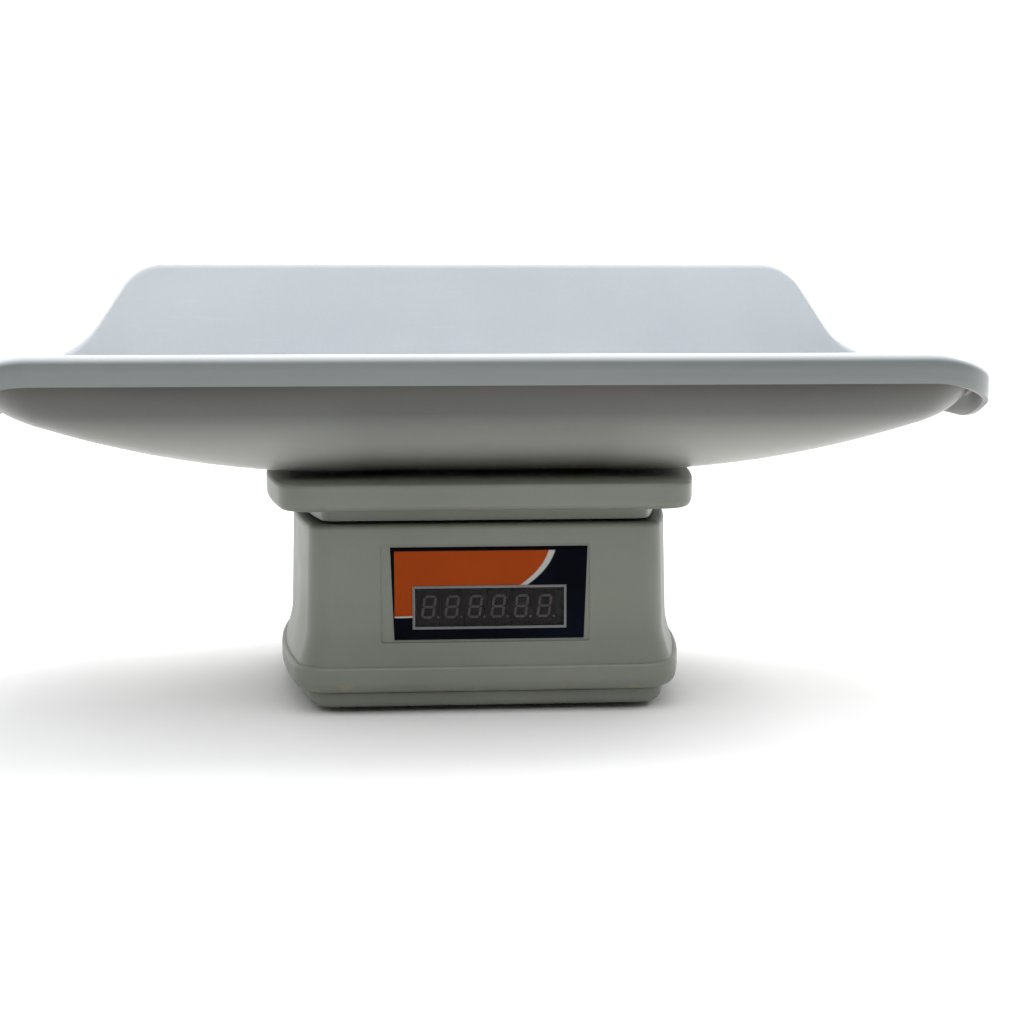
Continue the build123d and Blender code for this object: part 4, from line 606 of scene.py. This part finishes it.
def patchy(tree, mask, place, scale, start, end):
    """Break a mask up with noise."""
    return calc(tree, "MULTIPLY", mask, spread(tree, noise(tree, place, scale, 6.0), start, end))


tree, shader = plain_finish(
    "case_grey_green", CASE_DARK, CASE_LIGHT, (0.36, 0.46), 2600, 0.12, patch=9.0
)
place = position(tree)
seam_dirt = patchy(tree, height_band(tree, place, SEAM_Z, SEAM_REACH), place, 55.0, 0.35, 0.6)
stain(tree, shader, calc(tree, "MULTIPLY", seam_dirt, 0.75), GRIME_BROWN)
ledge_dust = patchy(tree, height_band(tree, place, LEDGE_Z, LEDGE_REACH), place, 70.0, 0.4, 0.7)
stain(tree, shader, calc(tree, "MULTIPLY", ledge_dust, 0.55), DUST_GREY)
spot_band = height_band(tree, place, SEAM_Z + SPOT_RISE, SPOT_REACH)
spots = patchy(tree, spot_band, place, 90.0, 0.62, 0.72)
stain(tree, shader, calc(tree, "MULTIPLY", spots, 0.6), SPOT_YELLOW)
smears = spread(tree, noise(tree, position(tree, (0.4, 1, 1.6)), 16.0, 5.0), 0.56, 0.75)
stain(tree, shader, calc(tree, "MULTIPLY", smears, 0.28), DUST_GREY)
print("case finish ready")

# %% [markdown]
# ## The tray: polished inside, duller below
# The tray is a cool white plastic with a polished inside that shows faint scuffs. Its underside
# is duller, and its grey is painted shade: darker still under the lip, and paler low down as painted
# light, not a mark of wear, which makes up for the little light that reaches it. The rings noted how far
# outside they are, and that note fades the inside's tone into the lip's painted shade over the crest.

# %% Tray finish
TRAY_DARK = (0.65, 0.685, 0.715)
TRAY_LIGHT = (0.71, 0.74, 0.765)
TRAY_SIDE_PAINTED_SHADE = (0.205, 0.226, 0.222)
SCUFF_WHITE = (0.84, 0.85, 0.88)
UNDER_LIP_PAINTED_SHADE = (0.074, 0.068, 0.061)
LOW_DOWN_PAINTED_LIGHT = (0.46, 0.46, 0.43)
LOW_DOWN_Z = 140 * MM
HALF_WAY_UP_Z = 165 * MM
UNDER_LIP_Z = 180 * MM

tree, shader = plain_finish("tray_white", TRAY_DARK, TRAY_LIGHT, (0.10, 0.2), 1500, 0.02, patch=6.0)
scratches = noise(tree, position(tree, (3, 40, 40)), 9.0, 2.0)
scuffs = patchy(tree, spread(tree, scratches, 0.62, 0.7), position(tree), 14.0, 0.5, 0.7)
stain(tree, shader, calc(tree, "MULTIPLY", scuffs, 0.2), SCUFF_WHITE)
outside = add_node(tree, "ShaderNodeAttribute", {}, attribute_name="outside").outputs["Fac"]
# Painted shade: the lip's outer face and the outer half of the roll fade to a grey-green that stands for
# the white plastic out of the light.
stain(tree, shader, spread(tree, outside, 0.45, 1.0, smooth=True), TRAY_SIDE_PAINTED_SHADE)

# Painted shade: the underside's grey tones stand for the white plastic in shade.
tree, shader = plain_finish(
    "tray_underside", (0.110, 0.114, 0.107), (0.130, 0.134, 0.125), (0.3, 0.42), 1500, 0.08, patch=7.0
)
height = add_node(tree, "ShaderNodeSeparateXYZ", {0: position(tree)}).outputs["Z"]
# Painted shade darkens the underside under the lip; painted light makes it paler low down.
stain(tree, shader, spread(tree, height, HALF_WAY_UP_Z, UNDER_LIP_Z), UNDER_LIP_PAINTED_SHADE)
stain(tree, shader, spread(tree, height, HALF_WAY_UP_Z, LOW_DOWN_Z), LOW_DOWN_PAINTED_LIGHT)
print("tray finishes ready")

# %% [markdown]
# ## The printed label
# The label is a film printed from behind: black ground, an orange field with a curved lower
# edge, and a pale swoosh that thins towards the left. The curve is a quarter of an ellipse, and
# a point's distance in that ellipse's own measure tells which print it gets. Its words are left
# out, and only the shapes are kept.

# %% Label finish
label_low, label_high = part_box("front_label")
FIELD_CENTRE = (label_low.x + 4.0 * MM, label_low.z + 54.5 * MM)
FIELD_HALF = (83.5 * MM, 41.5 * MM)
PRINT_BLACK = (0.001, 0.001, 0.002)
PRINT_NAVY = (0.003, 0.004, 0.010)
PRINT_ORANGE = (0.28, 0.040, 0.005)
PRINT_BRIGHT_ORANGE = (0.34, 0.055, 0.008)
PRINT_PALE = (0.42, 0.42, 0.40)
BORDER = 2.2 * MM
BORDER_SOFTNESS = 0.2 * MM
CURVE_SOFTNESS = 0.004
SWOOSH_TAPER = (1.018, 1.045)


def inside(tree, value, limit, softness):
    """1 where a value is below the limit, with an edge just soft enough to be smooth."""
    return spread(tree, value, limit - softness, limit + softness, 1.0, 0.0)


tree, shader = plain_finish("label_print", PRINT_BLACK, PRINT_NAVY, (0.2, 0.32), 1800, 0.05)
place = add_node(tree, "ShaderNodeSeparateXYZ", {0: position(tree)})
offsets = []
for axis, middle, half in zip("XZ", FIELD_CENTRE, FIELD_HALF):
    from_centre = calc(tree, "DIVIDE", calc(tree, "SUBTRACT", place.outputs[axis], middle), half)
    offsets.append(calc(tree, "MULTIPLY", from_centre, from_centre))
rings = calc(tree, "SQRT", calc(tree, "ADD", *offsets))
taper = spread(tree, place.outputs["X"], label_low.x, label_high.x, *SWOOSH_TAPER)
swoosh = inside(tree, calc(tree, "DIVIDE", rings, taper), 1.0, CURVE_SOFTNESS)
stain(tree, shader, swoosh, PRINT_PALE)
field = inside(tree, rings, 1.0, CURVE_SOFTNESS)
mottled = blend_colours(
    tree, noise(tree, position(tree), 60.0), PRINT_ORANGE, PRINT_BRIGHT_ORANGE
)
stain(tree, shader, field, mottled)
border_left = inside(tree, place.outputs["X"], label_low.x + BORDER, BORDER_SOFTNESS)
below_top = inside(tree, place.outputs["Z"], label_high.z - BORDER, BORDER_SOFTNESS)
border_top = calc(tree, "SUBTRACT", 1.0, below_top)
stain(tree, shader, calc(tree, "MAXIMUM", border_left, border_top), PRINT_BLACK)
shader.inputs["Specular IOR Level"].default_value = 0.02
print("label finish ready")

# %% [markdown]
# ## The smoked window
# The window is a thin smoked acrylic sheet. Light has to pass it to show the unlit figures behind,
# so it is a clear shader with a grey tint, low roughness, and wipe marks in the gloss.

# %% Window finish
tree, shader = plain_finish(
    "smoked_window", (0.30, 0.28, 0.30), (0.38, 0.35, 0.37), (0.03, 0.10), 500, 0.01
)
shader.inputs["Transmission Weight"].default_value = 1.0
shader.inputs["IOR"].default_value = 1.2
print("window finish ready")

# %% [markdown]
# ## Hand the finishes to the frame's parts
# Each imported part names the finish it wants. The finish is put in the part's material slots,
# which changes how it looks and leaves its shape and place alone.

# %% Dress the parts
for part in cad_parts.values():
    for material_slot in part.material_slots:
        wanted = material_slot.material.name.split(".")[0]
        material_slot.material = finishes[wanted]
tray_shell.data.materials.append(finishes["tray_white"])
for piece in (tray_shell, tray_pegs):
    piece.data.materials.append(finishes["tray_underside"])
print("parts dressed:", len(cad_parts))

# %% [markdown]
# ## Table, light and camera
# The object stands on a pale table in a bright room whose light comes from above and behind, so
# the inside of the tray is bright and the front is in soft shade. A dome that is brighter
# overhead does most of that. One lamp over the back edge draws the line of light along the crest,
# one over the right end adds to it, and a weak one low in front lifts the shade under the tray.

# %% Floor
FLOOR_HALF = 6.0
floor_mesh = bmesh.new()
bmesh.ops.create_grid(floor_mesh, x_segments=1, y_segments=1, size=FLOOR_HALF)
floor_data = bpy.data.meshes.new("floor")
floor_mesh.to_mesh(floor_data)
floor_mesh.free()
floor = bpy.data.objects.new("floor", floor_data)
bpy.context.scene.collection.objects.link(floor)
plain_finish("floor_pale", (0.80, 0.80, 0.79), (0.84, 0.84, 0.83), (0.6, 0.75), 60, 0.02, patch=0.8)
floor_data.materials.append(finishes["floor_pale"])
print("floor half size, m:", FLOOR_HALF)

# %% Dome of light
DOME_FRONT = (0.06, 0.06, 0.06)
DOME_BACK = (1.10, 1.10, 1.11)
DOME_TOP = (1.72, 1.74, 1.76)
world = bpy.data.worlds.new("studio")
bpy.context.scene.world = world
world.use_nodes = True
tree = world.node_tree
way = tree.nodes.new("ShaderNodeTexCoord").outputs["Generated"]
direction = add_node(tree, "ShaderNodeSeparateXYZ", {0: way})
backness = spread(tree, direction.outputs["Y"], -0.5, 0.5, smooth=True)
sides = blend_colours(tree, backness, DOME_FRONT, DOME_BACK)
upness = spread(tree, direction.outputs["Z"], 0.25, 0.9, smooth=True)
dome = blend_colours(tree, upness, sides, DOME_TOP)
tree.links.new(dome, tree.nodes["Background"].inputs["Color"])
print("dome ready")


# %% Lamps
def soft_lamp(name, place, aim, size, power):
    """A large soft lamp at a place, aimed at a point."""
    data = bpy.data.lights.new(name, "AREA")
    data.shape = "DISK"
    data.size = size
    data.energy = power
    lamp = bpy.data.objects.new(name, data)
    lamp.location = place
    lamp.rotation_euler = (Vector(aim) - Vector(place)).to_track_quat("-Z", "Y").to_euler()
    bpy.context.scene.collection.objects.link(lamp)
    return lamp


soft_lamp("over_the_back", (0.2, 1.3, 1.9), (0, 0, 0.15), 1.6, 25)
soft_lamp("over_the_right", (1.3, 0.5, 1.2), (0.1, 0, 0.2), 0.6, 12)
soft_lamp("low_in_front", (-0.3, -2.2, 0.05), (0, 0, 0.12), 1.4, 2)
print("lamps ready")

# %% Camera
LENS = 63.28
SENSOR_WIDTH = 36
camera_data = bpy.data.cameras.new("camera")
camera_data.lens = LENS
camera_data.sensor_width = SENSOR_WIDTH
camera = bpy.data.objects.new("camera", camera_data)
camera.location = (-0.0574, -1.0756, 0.2389)
camera.rotation_euler = (radians(82.5), 0, radians(-4.2))
bpy.context.scene.collection.objects.link(camera)
bpy.context.scene.camera = camera
bpy.context.scene.view_settings.view_transform = "Standard"
print("camera at", list(camera.location))
